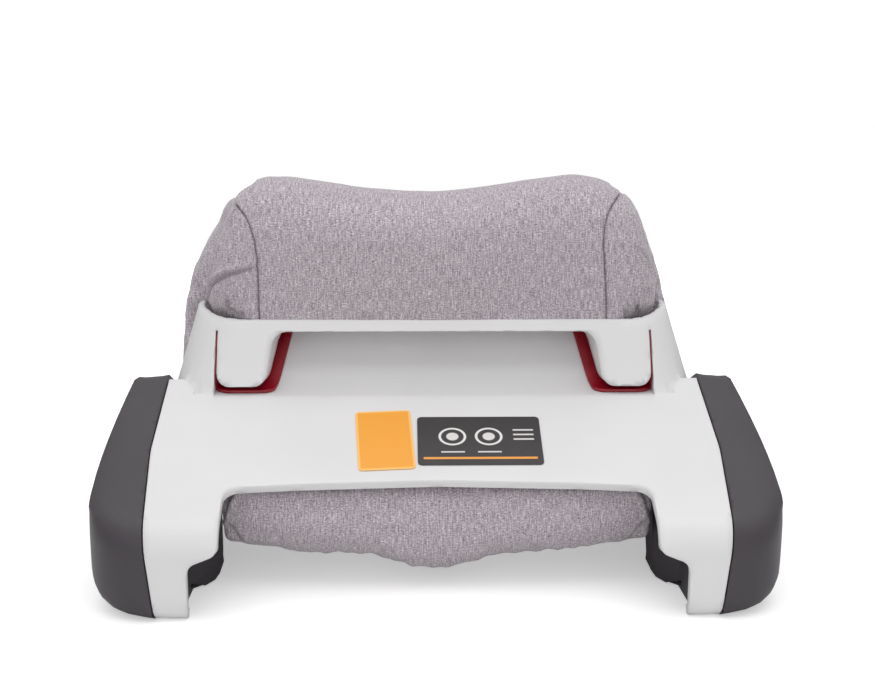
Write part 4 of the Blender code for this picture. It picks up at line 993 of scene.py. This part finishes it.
def padded_cover(fabric):
    """Bolster, gussets, side panels and chest pad: one cover over its foam, then parted at its seams."""
    whole = soft_body(["bolster_pad", "bolster_end_left", "bolster_end_right", "side_pad_left",
                       "side_pad_right", "chest_pad"], "padded_cover",
                      fuller=("side_pad_left", "side_pad_right"))
    push_points(whole, fill_to_rim)
    side_panel_shape(whole)
    relax(whole, ends_of_cover(**side_loose), side_loose_rounds)
    push_points(whole, stuffed_high)
    push_points(whole, corner_tuck)
    crumple(whole, *foam_swell)
    crumple(whole, *gusset_crumple, lambda place: ease(abs(place.x), *gusset_crumple_x))
    fold_gussets(whole)
    push_points(whole, lambda place, normal: shift_seam(place, True) - place)
    draw_in_seams(whole)
    above = ((0.0, 0.0, body_parting), (0.0, 0.0, -1.0))
    below = ((0.0, 0.0, body_parting), (0.0, 0.0, 1.0))
    pieces = [
        ("bolster_cover", ["bolster_pad"],
         [above, ((seam_x, 0, 0), (1, 0, 0)), ((-seam_x, 0, 0), (-1, 0, 0))]),
        ("gusset_left", ["bolster_end_left", "side_pad_left"], [above, ((-seam_x, 0, 0), (1, 0, 0))]),
        ("gusset_right", ["bolster_end_right", "side_pad_right"], [above, ((seam_x, 0, 0), (-1, 0, 0))]),
        ("chest_cover", ["chest_pad"], [below]),
    ]
    for name, nodes, cuts in pieces:
        piece = cut_piece(whole, name, cuts)
        push_points(piece, lambda place, normal: shift_seam(place, False) - place)
        finish_cloth(piece, fabric, nodes)
    bpy.data.objects.remove(whole)


def hem_gathers(place, normal):
    """Small gathers along the elastic hem, and a broader unevenness above it."""
    if place.y > hem_rear_y:
        return Vector()
    near = math.exp(-((place.z - profile(abs(place.x), hem_line)) / hem_band) ** 2)
    wave = noise.noise(Vector((place.x / hem_gather_size[0], hem_seeds[0], place.z / hem_gather_size[1])))
    broad = noise.noise(Vector((place.x / hem_swell_size[0], hem_seeds[1], place.z / hem_swell_size[1])))
    return normal * (hem_gather_depth * wave * near + hem_swell_depth * broad)


def apron(fabric):
    """The lower cloth: pulled under the panel by a gathered elastic hem, tucked in at both ends."""
    cloth = soft_body(["lower_apron"], "apron_cover", voxel=apron_voxel, shrink=apron_shrink,
                      limit=apron_limit, rounds=apron_rounds)
    push_points(cloth, hem_gathers)
    crumple(cloth, *apron_crumple)
    tucks = []
    for side in (-1, 1):
        for tuck in apron_tucks:
            mirrored = [(side * x, y, z) for x, y, z in tuck["line"]]
            tucks += fold_group(cloth, [dict(tuck, line=mirrored, over=(-side, 0.0, 0.0))])
    # painted shade along the tucks
    shade_lines(cloth, "painted_crease_shade", tucks, tuck_shade)
    finish_cloth(cloth, fabric, ["lower_apron"])


def trim_guide(guide):
    """The liner's edge follows the sloping inner edge of its hook."""
    for vert in guide.data.vertices:
        inward = guide_middle - abs(vert.co.x)
        if inward > 0:
            vert.co.x += math.copysign(guide_trim * inward / guide_half, vert.co.x)


def plastics():
    """The visible mouldings, each from its CAD solid and in its own plastic."""
    white, red, dark = moulded_white(), moulded_red(), moulded_dark()
    shell = smooth_shell("front_shell", "front_shell_moulding")
    give(shell, white)
    for end in ("left", "right"):
        cover = smooth_shell(f"side_cover_{end}", f"side_cover_moulding_{end}")
        give(cover, dark)
        guide = smooth_shell(f"belt_guide_{end}", f"belt_guide_moulding_{end}", guide_facet_length,
                             guide_facet_rounds)
        trim_guide(guide)
        give(guide, red)


def inner_pieces():
    """Materials of the CAD nodes that show as they are: foam, carrier plate, screws and stickers."""
    steel = zinc_steel()
    nodes = frame["nodes"]
    give(nodes["foam_core"], bead_foam())
    give(nodes["carrier_plate"], moulded_carrier())
    for name, node in nodes.items():
        if "screw" in name:
            give(node, steel)
    give(nodes["orange_sticker"], sticker_film("orange_printed_film", "f7a52c", "f9ad34", orange_artwork))
    give(nodes["dark_sticker"], sticker_film("dark_printed_film", "282526", "2e2a2b", dark_artwork))


def main():
    photo_camera()
    studio_floor()
    white_tent()
    for name, settings in softboxes.items():
        light_panel(name, *settings)
    bpy.context.scene.view_settings.view_transform = "Standard"
    fabric = heather_weave()
    plastics()
    inner_pieces()
    padded_cover(fabric)
    apron(fabric)


main()
